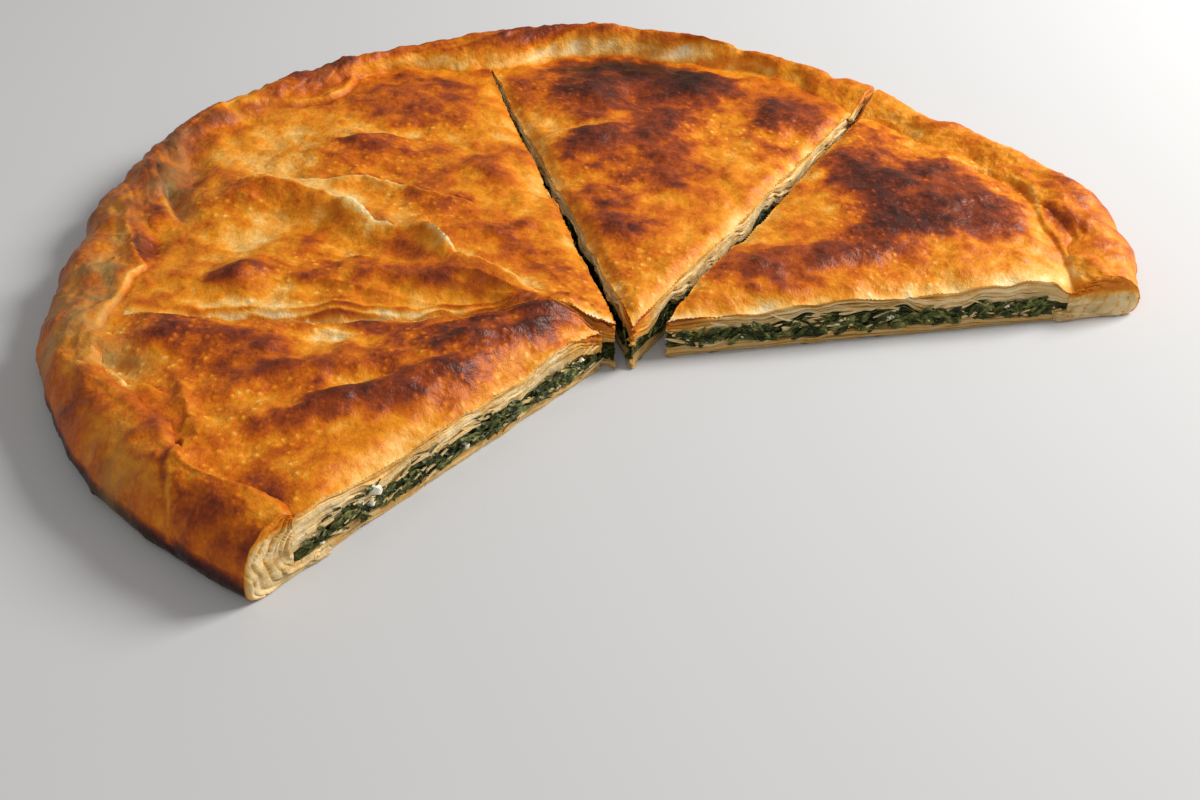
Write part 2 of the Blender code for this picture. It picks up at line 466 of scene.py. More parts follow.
@dataclass(frozen=True)
class Lap:
    """Edge of a sheet that lies over the next one: a route with its raised side on the left.

    The rise fades away from the edge. The edge is paler: partly the thin dough's own colour and partly
    a painted highlight along the fold. The slit below it has a painted shadow line.
    """

    route: tuple
    rise: float
    fade: float
    edge_paleness_and_highlight: float
    slit_painted_shadow: float
    ends: float = 0.22
    slope: float = 1.6

    def shape(self, x: Places, y: Places) -> tuple:
        """Height in millimetres, and how much browner it makes the crust, with its painted highlight and
        shadow.

        Args:
            x: places to the right of the pie's centre in millimetres.
            y: places behind it in millimetres.

        Returns:
            The height and the browning, painted highlight and shadow included, at each place.
        """
        nearest = np.full_like(x, 1e9)
        side = np.zeros_like(x)
        for (x0, y0), (x1, y1) in zip(self.route, self.route[1:]):
            run_x, run_y = x1 - x0, y1 - y0
            length = math.hypot(run_x, run_y)
            share = np.clip(((x - x0) * run_x + (y - y0) * run_y) / length**2, 0.0, 1.0)
            distance = np.hypot(x - x0 - share * run_x, y - y0 - share * run_y)
            left = np.sign(run_x * (y - y0) - run_y * (x - x0)) * distance
            closer = distance < nearest
            nearest = np.where(closer, distance, nearest)
            side = np.where(closer, left, side)
        ends = self.fading(x, y)
        step = ease(0.5 + side / self.slope)
        raised = step * np.exp(-((nearest / self.fade) ** 2))
        groove = (1.0 - step) * np.exp(-((nearest / 2.2) ** 2))
        # paler edge with a painted highlight along the fold, and a painted shadow line in the slit below it
        edge = np.exp(-(((side - 0.8) / 0.9) ** 2))
        painted_shadow_line = np.exp(-(((side + 0.5 * self.slope) / 0.9) ** 2))
        height = self.rise * ends * (raised - 0.35 * groove)
        return height, ends * (self.edge_paleness_and_highlight * edge + self.slit_painted_shadow * painted_shadow_line)

    def fading(self, x: Places, y: Places) -> Places:
        """Fades the lap out at both ends of its route."""
        (x0, y0), (x1, y1) = self.route[0], self.route[-1]
        reach = self.ends * math.hypot(x1 - x0, y1 - y0)
        return ease(np.hypot(x - x0, y - y0) / reach) * ease(np.hypot(x - x1, y - y1) / reach)


CENTRE = Vector((-3.25, -13.0)) * MM

# direction in degrees, radius, width of the fold, height at its inner edge, at its crest, crest's share
RIM = np.array((
    (5, 177.5, 24.0, 13.0, 14.5, 0.50), (14, 184.0, 23.0, 14.0, 16.0, 0.50),
    (24, 187.0, 22.0, 15.0, 18.0, 0.50), (34, 182.0, 18.0, 15.5, 20.0, 0.50),
    (46, 176.0, 17.0, 15.5, 19.5, 0.50), (57, 177.0, 17.0, 17.5, 21.5, 0.45),
    (69, 175.5, 13.0, 18.0, 23.5, 0.45), (79, 174.0, 12.0, 20.0, 27.5, 0.50),
    (92, 174.5, 15.0, 20.0, 29.0, 0.50), (106, 174.0, 23.0, 19.0, 26.0, 0.60),
    (122, 175.5, 13.5, 19.0, 23.5, 0.50), (136, 180.0, 25.0, 18.0, 20.5, 0.50),
    (151, 179.0, 15.0, 17.0, 19.0, 0.40), (163, 176.5, 27.0, 16.5, 17.5, 0.40),
    (176, 172.5, 29.0, 17.0, 18.0, 0.40), (192, 173.0, 25.0, 17.5, 18.5, 0.35),
    (205, 173.0, 15.0, 19.0, 19.5, 0.10), (218, 173.5, 20.0, 21.5, 21.5, 0.05),
    (232, 172.0, 17.0, 22.0, 22.0, 0.05), (300, 174.0, 20.0, 18.0, 20.0, 0.30),
))

SLICES = (
    SliceSpec("slice_1", Cut.LEFT, Cut.FRONT_END, 18.0,
              SideLook(2.4, 6.0, 0.00, 5.0, 0.5, 80.0), SideLook(3.4, 13.0, 0.12, 9.0, 0.3), 0.42),
    SliceSpec("slice_2", Cut.CREASE, Cut.LEFT, 17.5,
              SideLook(0.4, 6.0, 0.0, 4.0, 0.0), SideLook(3.0, 6.0, 0.30, 6.5, 0.5, 40.0), 0.39),
    SliceSpec("slice_3", Cut.BACK, Cut.CREASE, 17.5,
              SideLook(1.5, 6.0, -0.06, 8.0, 0.4), SideLook(0.4, 6.0, 0.0, 4.0, 0.0), 0.39),
    SliceSpec("slice_4", Cut.RIGHT, Cut.BACK, 18.0,
              SideLook(2.2, 6.0, 0.16, 4.5, 0.3), SideLook(1.8, 6.0, 0.06, 5.0, 0.5), 0.39),
    SliceSpec("slice_5", Cut.RIGHT_END, Cut.RIGHT, 16.5,
              SideLook(2.5, 9.0, 0.20, 7.0, 0.3), SideLook(1.2, 6.0, 0.08, 6.0, 0.4), 0.39),
)

# the top crust runs on over the healed cut between slices 2 and 3
JOINED_TOP = SliceSpec(
    "slices_2_and_3", Cut.BACK, Cut.LEFT, 17.5, SLICES[2].first_look, SLICES[1].last_look, 0.39,
)

# direction in degrees, browning of the fold's inner face, of its crest, of its side and at its foot,
# greyness, lip, dip of the crust before the fold, how soon the fold rises, and how much of its width it keeps
RIM_LOOK = np.array((
    (5, 0.36, 0.42, 0.44, 0.55, 0.00, -0.3, 0.3, 0.60, 1.10),
    (20, 0.34, 0.41, 0.45, 0.55, 0.00, -0.3, 0.3, 0.70, 1.30),
    (40, 0.30, 0.35, 0.42, 0.55, 0.00, -0.3, 0.3, 0.80, 1.60),
    (60, 0.30, 0.34, 0.44, 0.55, 0.00, -0.3, 0.4, 0.80, 1.40),
    (72, 0.30, 0.50, 0.54, 0.60, 0.00, -0.3, 0.5, 0.72, 0.92),
    (86, 0.23, 0.66, 0.68, 0.60, 0.00, -0.3, 0.6, 0.64, 0.88),
    (94, 0.22, 0.68, 0.70, 0.60, 0.00, -0.3, 0.8, 0.58, 0.88),
    (102, 0.27, 0.62, 0.64, 0.60, 0.00, -0.3, 1.0, 0.55, 0.88),
    (110, 0.10, 0.50, 0.58, 0.55, 0.00, -0.3, 1.0, 0.55, 0.90),
    (120, 0.24, 0.64, 0.66, 0.55, 0.00, -0.3, 1.0, 0.55, 0.95),
    (132, 0.42, 0.52, 0.58, 0.55, 0.04, -0.3, 1.0, 0.60, 1.00),
    (155, 0.48, 0.51, 0.58, 0.60, 0.06, -0.3, 1.2, 0.60, 1.00),
    (170, 0.50, 0.54, 0.60, 0.62, 0.10, -0.3, 1.4, 0.60, 1.00),
    (192, 0.48, 0.54, 0.62, 0.70, 0.18, -0.2, 1.2, 0.60, 1.00),
    (202, 0.45, 0.46, 0.50, 0.95, 0.10, 0.8, 1.0, 0.34, 1.00),
    (212, 0.46, 0.45, 0.45, 1.00, 0.00, 1.8, 0.8, 0.22, 1.00),
    (233, 0.46, 0.44, 0.44, 1.00, 0.00, 2.0, 0.8, 0.20, 1.00),
    (300, 0.40, 0.44, 0.55, 0.60, 0.00, 1.0, 0.8, 0.40, 1.00),
))

# The crust's blisters and ridges, and its brown and pale patches, slice by slice and then on the rim.
PATCHES = tuple(Patch(*row) for row in (
    # slice 1
    (-18, -34, 17, 9, 38, 6.0, 0.32), (-37, -49, 11, 9, 15, 4.6, 0.32),
    (-48, -71, 27, 8, 35, 6.0, 0.32), (-74, -88, 18, 8, 28, 4.5, 0.30),
    (-74, -66, 31, 8, 26, 4.0, 0.24), (-50, -44, 18, 9, 20, 1.5, 0.22),
    (-113, -54, 25, 13, 2, 3.0, 0.19), (-79, -49, 8, 5, 10, -1.2, -0.26),
    (-65, -42, 11, 5, 14, 0.0, 0.28), (-116, -72, 9, 9, 0, 0.0, 0.14),
    (-108, -98, 8, 6, 0, 0.0, -0.12), (-24, -50, 10, 5, 40, 0.0, 0.10),
    (-15, -38, 12, 8, 35, 0.0, 0.12), (-54, -103, 36, 8, 43, 0.0, -0.15),
    (-80, -116, 22, 10, 36, 2.4, 0.12), (-94, -90, 9, 7, 20, 0.4, -0.18),
    (-97, -82, 20, 5, 30, -2.0, -0.12), (-115, -84, 10, 2.4, 105, 3.0, -0.02),
    (-134, -64, 9, 4, -30, -0.8, -0.04, 0.40),
    # slice 2
    (-110, -18, 10, 8, 0, 4.6, 0.28), (-72, -13, 27, 8, 3, 3.6, 0.20),
    (-40, -15, 22, 7, -12, 3.6, 0.12), (-92, 7, 13, 6, 10, 0.8, 0.15),
    (-70, 6, 11, 7, 0, 0.4, 0.10), (-84, 25, 22, 8, -22, 3.0, 0.10),
    (-118, 36, 24, 8, -4, 2.6, 0.08), (-115, 8, 12, 8, 0, -0.8, -0.05, 0.02),
    (-94, 12, 9, 9, 0, 0.0, 0.12), (-88, -12, 8, 5, 0, 0.0, 0.14),
    (-134, 34, 8, 14, 0, 0.0, -0.10), (-84, -32, 44, 4, 1, 0.0, -0.20),
    # pale upper edge of the crease
    (-92, 41, 17, 5.5, -24, 0.0, -0.20, 0.12), (-71, 24, 8, 3.5, -50, -0.6, -0.10, 0.30),
    (-62, 16, 6, 2.5, 0, -0.6, -0.04, 0.26), (-79, 22, 11, 2.8, -40, 0.0, -0.26),
    (-54, 9, 9, 4.5, -62, 0.5, -0.28), (-43, 3, 9, 3.2, -50, 0.0, -0.20, 0.16),
    (-28, -8, 14, 3.0, -34, 0.0, -0.18), (-83, 50, 20, 2.6, -4, 0.0, -0.10, 0.22),
    # slice 3
    (-84, 77, 14, 9, -8, 4.8, 0.28), (-42, 60, 12, 10, 0, 3.4, 0.18),
    (-56, 66, 10, 8, 0, 0.8, 0.06), (-73, 114, 23, 18, -20, 2.6, 0.13),
    (-76, 131, 8, 6, 0, 1.0, 0.16), (-57, 122, 8, 8, 0, 1.0, 0.18),
    (-76, 103, 21, 15, 0, 0.4, 0.16), (-102, 70, 9, 8, 0, 0.0, -0.18),
    (-60, 77, 8, 7, 0, 0.4, 0.14), (-56, 36, 12, 9, -30, 1.5, 0.14),
    (-26, 8, 8, 16, 12, 0.3, 0.24), (-17, 5, 5, 14, 12, 0.0, 0.12),
    (-34, 124, 9, 16, 5, 0.0, 0.18), (-41, 97, 6, 12, 8, 0.0, -0.14),
    (-122, 78, 13, 15, 10, -0.8, -0.04, 0.04), (-108, 60, 14, 8, 10, -0.6, -0.08, 0.02),
    # slice 4
    (-7, 121, 13, 19, 8, 4.8, 0.46), (5, 148, 30, 11, -4, 1.5, 0.56),
    (34, 130, 14, 19, 0, 3.0, 0.44), (17, 103, 10, 17, -10, 2.2, 0.42),
    (66, 112, 15, 16, 20, 2.6, 0.32), (14, 137, 30, 20, 0, 0.0, 0.36),
    (9, 126, 5, 8, 0, -1.4, -0.05), (23, 128, 6, 8, 0, 0.0, -0.16),
    (-26, 81, 5, 9, 0, 0.0, -0.12), (-3, 98, 8, 5, 0, 0.0, -0.16),
    (8, 108, 6, 6, 0, 0.3, 0.16), (34, 89, 14, 9, 0, 0.4, 0.12),
    (-13, 68, 6, 8, 0, 0.0, 0.16), (60, 82, 9, 9, 0, 0.3, 0.14),
    (10, 10, 6, 14, 0, 0.0, 0.10), (-16, 107, 7, 10, 0, 0.4, 0.14),
    (31, 105, 9, 12, 0, 0.6, 0.22), (5, 65, 15, 9, 0, 0.4, 0.20),
    (42, 58, 8, 14, -20, 0.0, -0.12), (-5, 84, 15, 12, 0, 4.4, 0.36),
    (22, 72, 12, 22, -5, 3.0, 0.26), (2, 46, 11, 12, 0, 1.2, 0.13),
    (6, 25, 14, 11, 10, 1.6, 0.15), (-13, 53, 7, 14, 12, 0.0, 0.14),
    (48, 76, 13, 22, -30, 1.5, 0.0),
    # slice 5
    (110, 55, 37, 24, -28, 4.5, 0.50), (98, 34, 15, 8, 8, 2.0, 0.50),
    (79, 47, 8, 15, 0, 0.0, -0.16), (61, -3, 6, 9, 0, 0.0, 0.20),
    (49, 10, 6, 6, 0, 0.0, -0.14), (112, 9, 6, 10, 0, 0.0, -0.10),
    (116, 79, 14, 12, -20, 1.0, 0.26), (86, 86, 16, 9, 20, 2.4, 0.16),
    (97, 104, 11, 10, 0, 1.6, 0.26), (62, 10, 32, 10, 20, 3.4, 0.32),
    (84, 20, 16, 9, 20, 1.4, 0.26), (58, -6, 12, 5, 15, 0.5, 0.16),
    (116, 15, 12, 14, 10, 2.0, 0.10), (158, 50, 8, 10, 10, 0.8, 0.06),
    (147, 46, 4, 14, -5, 0.0, -0.24), (80, 71, 8, 6, 0, 0.0, 0.14),
    (126, 84, 11, 8, -30, 0.3, 0.14), (88, 14, 14, 9, 10, 0.4, 0.07),
    (110, 32, 14, 5, 0, 0.0, 0.10),
    # rim
    (-138, -66, 9, 6, -40, 0.0, 0.02, 0.45), (-151, -42, 9, 20, 8, 0.0, -0.03, 0.50),
    (-159, -50, 6, 14, 15, 0.2, 0.0, 0.26), (-148, -20, 4, 8, 5, 1.0, 0.12),
    (-155, -10, 4, 16, 5, 0.0, 0.0, 0.55), (-148, 6, 16, 3.2, 108, 1.0, 0.10),
    (-144, 3, 4, 9, 5, 0.0, 0.24), (-150, 20, 6, 22, 10, 0.0, 0.20),
    (-161, 12, 4, 15, -2, 0.6, 0.16), (-153, 44, 15, 4, 115, 0.3, 0.14),
    (-144, 36, 12, 4, 112, 0.0, 0.02, 0.50), (-142, 58, 5, 18, 8, 0.0, 0.14, 0.28),
    (-150, 72, 4, 10, -20, 0.0, 0.14, 0.10), (-146, 88, 14, 7, 60, 0.4, 0.02),
    (-130, 107, 20, 4.5, 52, 0.8, -0.16), (-118, 103, 14, 8, 30, -0.6, 0.02, 0.10),
    (-135, 98, 10, 7, 50, 0.0, -0.14), (-112, 130, 18, 8, 38, 0.4, 0.20),
    (-126, -110, 16, 6, 115, 0.2, -0.04, 0.30), (-93, -138, 20, 7, -40, 0.3, 0.22),
    (-104, -149, 4, 3, 0, 0.3, -0.20), (-90, -124, 12, 7, -50, 0.2, 0.12),
))

# small knobs and pockets along the fold's inner edge, where the rim and the top crust run into each other
KNOBS = tuple(Patch(*row) for row in (
    (-145, -58, 6, 4.5, 0, 3.6, -0.02), (-137, -66, 9, 4, -40, -2.4, 0.06),
    (-149, -49, 4, 6, 10, -2.0, 0.04), (-153, -33, 4, 6, 0, -1.8, 0.04),
    (-150, -64, 5, 3, -30, -1.6, 0.06), (-155, -8, 4, 14, 5, -1.8, 0.02),
    (-148, 5, 16, 3.4, 108, 1.6, 0.04), (-143, 3, 3, 6, 5, -1.8, 0.08),
    (-145, 36, 14, 3.8, 112, -2.0, 0.04), (-142, 58, 4.5, 16, 8, -1.6, 0.03),
    (-137, 74, 4, 9, 20, 1.4, 0.04), (-129, 90, 10, 4, 50, -1.4, 0.05),
    (-146, 22, 7, 4, 100, 1.2, 0.06), (151, 8, 2.6, 7, 0, -3.0, 0.10),
    (150, 30, 3, 9, 0, -0.6, -0.06),
))

# each lap: route, rise, fade, edge paleness with painted highlight, painted shadow in the slit, ends, slope
LAPS = (
    Lap(((-16, -21), (-31, -12), (-43, -4), (-51, 5), (-58, 12), (-66, 13), (-72, 16), (-77, 23), (-85, 29),
         (-98, 36), (-130, 40)), 4.4, 9, -0.28, 0.62, 0.10, 1.3),
    Lap(((-45, -2), (-52, 9), (-57, 21)), 3.2, 5, -0.36, 0.55, 0.25, 1.3),
    Lap(((-40, 34), (-56, 42), (-70, 50), (-85, 53), (-101, 49), (-128, 54)), 1.6, 6, -0.20, 0.10, 0.15, 2.4),
    Lap(((-20, -27), (-60, -30), (-98, -33), (-132, -36)), -0.7, 4, -0.08, 0.26, 0.10, 1.2),
    Lap(((-24, -30), (-60, -33), (-98, -35.5), (-132, -38.5)), -0.7, 3, -0.06, 0.34, 0.10, 1.2),
    Lap(((-138, 18), (-143, 28), (-151, 47), (-158, 64)), 1.9, 7, -0.20, 0.14, 0.2, 1.8),
    Lap(((-141, -14), (-149, 2), (-153, 14), (-156, 30)), 1.2, 6, -0.10, 0.12, 0.2, 2.0),
    Lap(((-149, -56), (-147, -40), (-143, -20), (-141, -5)), 1.5, 8, -0.22, 0.10, 0.2, 1.8),
    Lap(((-136, 98), (-120, 106), (-104, 111), (-97, 123), (-94, 140)), 1.8, 8, -0.14, 0.14, 0.2, 2.6),
    Lap(((-118, -84), (-126, -78), (-131, -79), (-137, -71), (-143, -72), (-152, -66)),
        1.8, 7, -0.16, 0.14, 0.2, 1.5),
    Lap(((140, 84), (147, 60), (151, 34), (154, 4)), 1.1, 9, -0.12, 0.02, 0.12, 2.2),
    Lap(((116, 92), (132, 84), (143, 74), (150, 58)), 0.9, 8, -0.10, 0.06, 0.2, 2.6),
    Lap(((-113, -101), (-112, -122), (-109, -150)), 1.7, 9, -0.14, 0.26, 0.10, 1.5),
)


@dataclass
class PiePlan:
    """Heights and bounds of the pie's crust, worked out from its tables."""

    bulge_height: float = 5.5
    foot_setback: float = 4.5
    fold_thickness: float = 3.0
    fold_thickening: float = 0.9
    fold_clearance: float = 0.7
    fold_ramp: float = 20.0
    highest_edge: float = 18.0

    def rim(self, angle: Places) -> tuple:
        """The rim's five sizes in a direction in degrees, read smoothly between its stations.

        Args:
            angle: directions in degrees.

        Returns:
            Radius, width, height at the inner edge and at the crest, and the crest's share.
        """
        angle = np.mod(angle, 360.0)
        after = np.searchsorted(RIM[:, 0], angle, side="right")
        low, high = (after - 1) % len(RIM), after % len(RIM)
        span = np.mod(RIM[high, 0] - RIM[low, 0], 360.0)
        share = ease(np.mod(angle - RIM[low, 0], 360.0) / span)
        return tuple(RIM[low, i] + (RIM[high, i] - RIM[low, i]) * share for i in range(1, 6))

    def look(self, angle: Places) -> tuple:
        """The rim's nine looks in a direction in degrees.

        Args:
            angle: directions in degrees.

        Returns:
            What the columns of RIM_LOOK are there.
        """
        stations = np.append(RIM_LOOK[:, 0], RIM_LOOK[0, 0] + 360.0)
        angle = np.mod(angle, 360.0)
        angle = np.where(angle < stations[0], angle + 360.0, angle)
        columns = [np.append(column, column[0]) for column in RIM_LOOK[:, 1:].T]
        return tuple(np.interp(angle, stations, column) for column in columns)

    def edge_level(self, angle: Places) -> Places:
        """Height of the crust where it meets the fold."""
        return np.minimum(self.rim(angle)[2], self.highest_edge) - self.look(angle)[6]

    def polar(self, x: Places, y: Places) -> tuple:
        """Distance and direction in degrees from the pie's centre, of places in millimetres."""
        return np.hypot(x, y), np.degrees(np.arctan2(y, x))

    def fold_share(self, x: Places, y: Places) -> Places:
        """How far across the fold: 0 at its inner edge and 1 at the outline."""
        distance, angle = self.polar(x, y)
        radius, width = self.rim(angle)[:2]
        return 1.0 - (radius - distance) / width

    def clear_of_fold(self, x: Places, y: Places, reach: float) -> Places:
        """0 at the fold's inner edge, rising to 1 at a distance of reach millimetres inside it."""
        distance, angle = self.polar(x, y)
        radius, width = self.rim(angle)[:2]
        return ease((radius - width - distance) / reach)

    def fold_height(self, angle: Places, share: Places) -> Places:
        """Height of the fold's outer skin in millimetres.

        Args:
            angle: directions in degrees.
            share: share of the way across the fold.

        Returns:
            The height at each place.
        """
        inner, crest, crest_share = self.rim(angle)[2:]
        share = np.clip(share, 0.0, 1.0)
        rise = inner + (crest - inner) * np.sin(0.5 * np.pi * np.clip(share / crest_share, 0.0, 1.0))
        beyond = np.clip((share - crest_share) / (1.0 - crest_share), 0.0, 1.0)
        fall = self.bulge_height + (crest - self.bulge_height) * np.sqrt(1.0 - beyond * beyond)
        return np.where(share < crest_share, rise, fall)

    def fold_underside(self, angle: Places, share: Places) -> Places:
        """Height of the fold's inner skin in millimetres."""
        share = np.clip(share, 0.0, 1.0)
        return self.fold_height(angle, share) - self.fold_thickness * (1.0 + self.fold_thickening * share)

    def side(self, cut: Cut, turn: float) -> CutLine:
        """One side of a cut: turn is +1 where the slice lies counter-clockwise of it, or -1.

        Args:
            cut: the knife cut.
            turn: which side of it the slice is on.

        Returns:
            The line that bounds the slice.
        """
        x, y, angle, inner_gap, rim_gap = cut.value
        narrowing = math.atan(0.5 * (inner_gap - rim_gap) / CUT_LENGTH)
        aim = math.radians(angle) - turn * narrowing
        direction = Vector((math.cos(aim), math.sin(aim)))
        inward = Vector((-direction.y, direction.x)) * turn
        point = CENTRE + (Vector((x, y)) + inward * 0.5 * inner_gap) * MM
        return CutLine(point, direction, inward)


PLAN = PiePlan()


def about_centre(places: Places) -> tuple:
    """Plan places in millimetres from the pie's centre, of rows in metres."""
    return (places[:, 0] - CENTRE.x) / MM, (places[:, 1] - CENTRE.y) / MM


@dataclass(frozen=True)
class CrustRelief:
    """Relief and browning that run over the whole crust, so that neighbouring slices match."""

    broad: Ripple = Ripple(11)
    middle: Ripple = Ripple(12)
    radial: Ripple = Ripple(14)
    tint: Ripple = Ripple(15)
    pimples: Bubbles = Bubbles(21, 3.3, 0.55, 0.95)
    blisters: Bubbles = Bubbles(22, 11.0, 0.35, 4.2)

    def pimply(self, x: Places, y: Places) -> Places:
        """How many pimples a place has: most on the front-left slice."""
        front_left = ease((-38.0 - y) / 8.0) * ease(-x / 20.0)
        return ease(0.30 + 1.2 * self.tint.at(x / 31.0 + 5.0, y / 31.0) + 0.7 * front_left)

    def warped(self, x: Places, y: Places, amount: float) -> tuple:
        """Places moved about by a few millimetres, which makes outlines uneven."""
        shift_x = self.middle.rough(x / 13.0 + 31.0, y / 13.0, 3)
        shift_y = self.middle.rough(x / 13.0, y / 13.0 + 47.0, 3)
        return x + amount * shift_x, y + amount * shift_y

    def patches(self, x: Places, y: Places) -> Places:
        """Rise of the listed blisters in millimetres."""
        x, y = self.warped(x, y, 1.6)
        return sum(patch.rise * patch.weight(x, y) for patch in PATCHES)

    def laps(self, x: Places, y: Places) -> tuple:
        """Height of the listed laps in millimetres, and how much browner they are, with painted highlights on
        their edges and painted shadows in their slits.

        Args:
            x: places to the right of the pie's centre in millimetres.
            y: places behind it in millimetres.

        Returns:
            The height and the browning, painted highlights and shadows included, at each place.
        """
        x, y = self.warped(x, y, 1.3)
        height = np.zeros_like(x)
        bake = np.zeros_like(x)
        for lap in LAPS:
            lap_height, lap_browning_and_painted_light = lap.shape(x, y)
            height += lap_height
            bake += lap_browning_and_painted_light
        for knob in KNOBS:
            weight = knob.weight(x, y)
            height += knob.rise * weight
            bake += knob.bake * weight
        return height, bake

    def dampness(self, x: Places, y: Places) -> Places:
        """How grey and translucent the listed patches are."""
        x, y = self.warped(x, y, 3.2)
        total = sum(patch.damp * patch.weight(x, y) for patch in PATCHES if patch.damp)
        return total * (1.0 + 0.6 * self.middle.rough(x / 7.0, y / 7.0, 3))

    def wrinkles(self, x: Places, y: Places) -> Places:
        """Wrinkles of the baked sheets in millimetres.

        Args:
            x: places to the right of the pie's centre in millimetres.
            y: places behind it in millimetres.

        Returns:
            The height at each place.
        """
        distance, angle = PLAN.polar(x - 4.0, y + 31.0)
        gathered = ease((np.mod(angle, 360.0) - 115.0) / 25.0)
        across = np.radians(np.mod(angle, 360.0)) * 85.0 + 4.0 * self.broad.at(x / 22.0, y / 22.0)
        crease = 1.0 - np.abs(self.radial.at(across / 11.0, distance / 42.0))
        total = 0.9 * gathered * (crease**3 - 0.35)
        total += 0.80 * self.broad.rough(x / 19.0, y / 19.0, 3)
        total += 0.34 * self.middle.rough(x / 6.0, y / 6.0, 3)
        mask = self.pimply(x, y)
        total += 0.55 * mask * self.pimples.at(x, y)
        total += 0.7 * (1.0 - 0.5 * mask) * self.blisters.at(x, y)
        return total

    def fine(self, x: Places, y: Places) -> Places:
        """Height of the wrinkles and laps in millimetres, which the top crust and the rim share."""
        return self.wrinkles(x, y) + self.laps(x, y)[0]

    def browning(self, x: Places, y: Places) -> Places:
        """How much browner or paler than the slice's own shade the crust is, with the laps' painted
        highlights and shadows.

        Args:
            x: places to the right of the pie's centre in millimetres.
            y: places behind it in millimetres.

        Returns:
            The change of browning at each place.
        """
        warped_x, warped_y = self.warped(x, y, 2.6)
        grain = self.middle.rough(x / 5.0, y / 5.0 + 11.0, 4)
        total = 0.07 * self.tint.rough(x / 21.0, y / 21.0, 3) + 0.055 * grain
        for patch in PATCHES:
            weight = patch.weight(warped_x, warped_y)
            total += patch.bake * ease((weight * (1.0 + 0.16 * grain) - 0.04) / 0.80)
        total *= 1.0 + 0.09 * self.tint.rough(x / 8.0 + 3.0, y / 8.0, 3)
        total = np.where(total > 0.29, 0.29 + 0.38 * (total - 0.29), total)
        # the laps bring their painted highlights and painted shadow lines
        total += 0.09 * self.wrinkles(x, y) + self.laps(x, y)[1]
        return total - 0.30 * self.pimply(x, y) * self.pimples.at(x, y)


RELIEF = CrustRelief()


@dataclass(frozen=True)
class Bound:
    """Uneven level between two layers: its mean, swing and limits in millimetres."""

    ripple: Ripple
    cell: float
    mean: float
    swing: float
    lowest: float
    highest: float

    def height(self, places: Places) -> Places:
        """Height in metres."""
        x, y = places[:, 0] / MM / self.cell, places[:, 1] / MM / self.cell
        return np.clip(self.mean + self.swing * self.ripple.rough(x, y, 3), self.lowest, self.highest) * MM


FILLING_TOP = Bound(Ripple(83), 11.0, 7.9, 2.4, 4.9, 11.2)
FLOOR_TOP = Bound(Ripple(84), 9.0, 3.0, 1.1, 1.7, 4.6)


@dataclass
class SliceForm:
    """Plan and heights of one slice."""

    spec: SliceSpec
    first: CutLine = field(init=False)
    last: CutLine = field(init=False)
    tip: Vector = field(init=False)

    def __post_init__(self) -> None:
        """Works out the two sides and the tip."""
        self.first = PLAN.side(self.spec.first_cut, 1.0)
        self.last = PLAN.side(self.spec.last_cut, -1.0)
        self.tip = self.first.meets(self.last)

    def depth(self, places: Places) -> tuple:
        """Distance inside each cut, in millimetres."""
        x, y = places[:, 0], places[:, 1]
        return self.first.inside(x, y) / MM, self.last.inside(x, y) / MM

    def sides(self, places: Places) -> list:
        """Distance inside each cut, in millimetres, with how the top crust ends there."""
        return list(zip(self.depth(places), (self.spec.first_look, self.spec.last_look)))

    def from_tip(self, places: Places) -> Places:
        """Distance from the slice's tip in millimetres."""
        return np.hypot(places[:, 0] - self.tip.x, places[:, 1] - self.tip.y) / MM

    def top_height(self, places: Places, relief: Places, fine: Places) -> Places:
        """Height of the top crust in millimetres.

        Args:
            places: rows of positions in metres.
            relief: rise of blisters and ridges, which ends before the fold.
            fine: height of wrinkles and laps, which run on to the fold.

        Returns:
            The height at each position.
        """
        x, y = about_centre(places)
        angle = PLAN.polar(x, y)[1]
        share = PLAN.fold_share(x, y)
        height = self.spec.level + relief
        for inside, look in self.sides(places):
            begun = ease((self.from_tip(places) - look.start) / 30.0 + 1.0) * PLAN.clear_of_fold(x, y, 30.0)
            height = height - look.sag * begun * (1.0 - ease(inside / look.reach)) ** 2
        edge = PLAN.edge_level(angle)
        exposed = edge + (height - edge) * PLAN.clear_of_fold(x, y, PLAN.fold_ramp) + fine
        under = PLAN.fold_underside(angle, share) - PLAN.fold_clearance
        return exposed + (np.minimum(under, exposed) - exposed) * ease((share - 0.17) / 0.12)


# ---------------------------------------------------------------- finishes


def feed(tree: Tree, node: bpy.types.Node, inputs: dict) -> None:
    """Fills a node's inputs, by name or number, from another node's socket or with a constant.

    Args:
        tree: the node tree.
        node: the node to fill.
        inputs: name or number of each input, to what fills it.
    """
    for key, value in inputs.items():
        if isinstance(value, bpy.types.NodeSocket):
            tree.links.new(value, node.inputs[key])
        else:
            node.inputs[key].default_value = value


def noise_node(tree: Tree, scale: float, detail: float, place: object) -> object:
    """Noise at a scale per metre, as a socket."""
    node = tree.nodes.new("ShaderNodeTexNoise")
    feed(tree, node, {"Vector": place, "Scale": scale, "Detail": detail, "Roughness": 0.6})
    return node.outputs["Fac"]


def math_node(tree: Tree, operation: str, first: object, second: object) -> object:
    """A calculation on sockets or numbers, as a socket.

    Args:
        tree: the node tree.
        operation: Blender's name of the operation.
        first: the first value.
        second: the second value.

    Returns:
        The result's socket.
    """
    node = tree.nodes.new("ShaderNodeMath")
    node.operation = operation
    feed(tree, node, {0: first, 1: second})
    return node.outputs["Value"]


def mix_node(tree: Tree, factor: object, first: object, second: object) -> object:
    """A mix of two colours, as a socket.

    Args:
        tree: the node tree.
        factor: share of the second colour.
        first: the first colour.
        second: the second colour.

    Returns:
        The mix's socket.
    """
    node = tree.nodes.new("ShaderNodeMix")
    node.data_type = "RGBA"
    feed(tree, node, {"Factor": factor, "A": first, "B": second})
    return node.outputs["Result"]


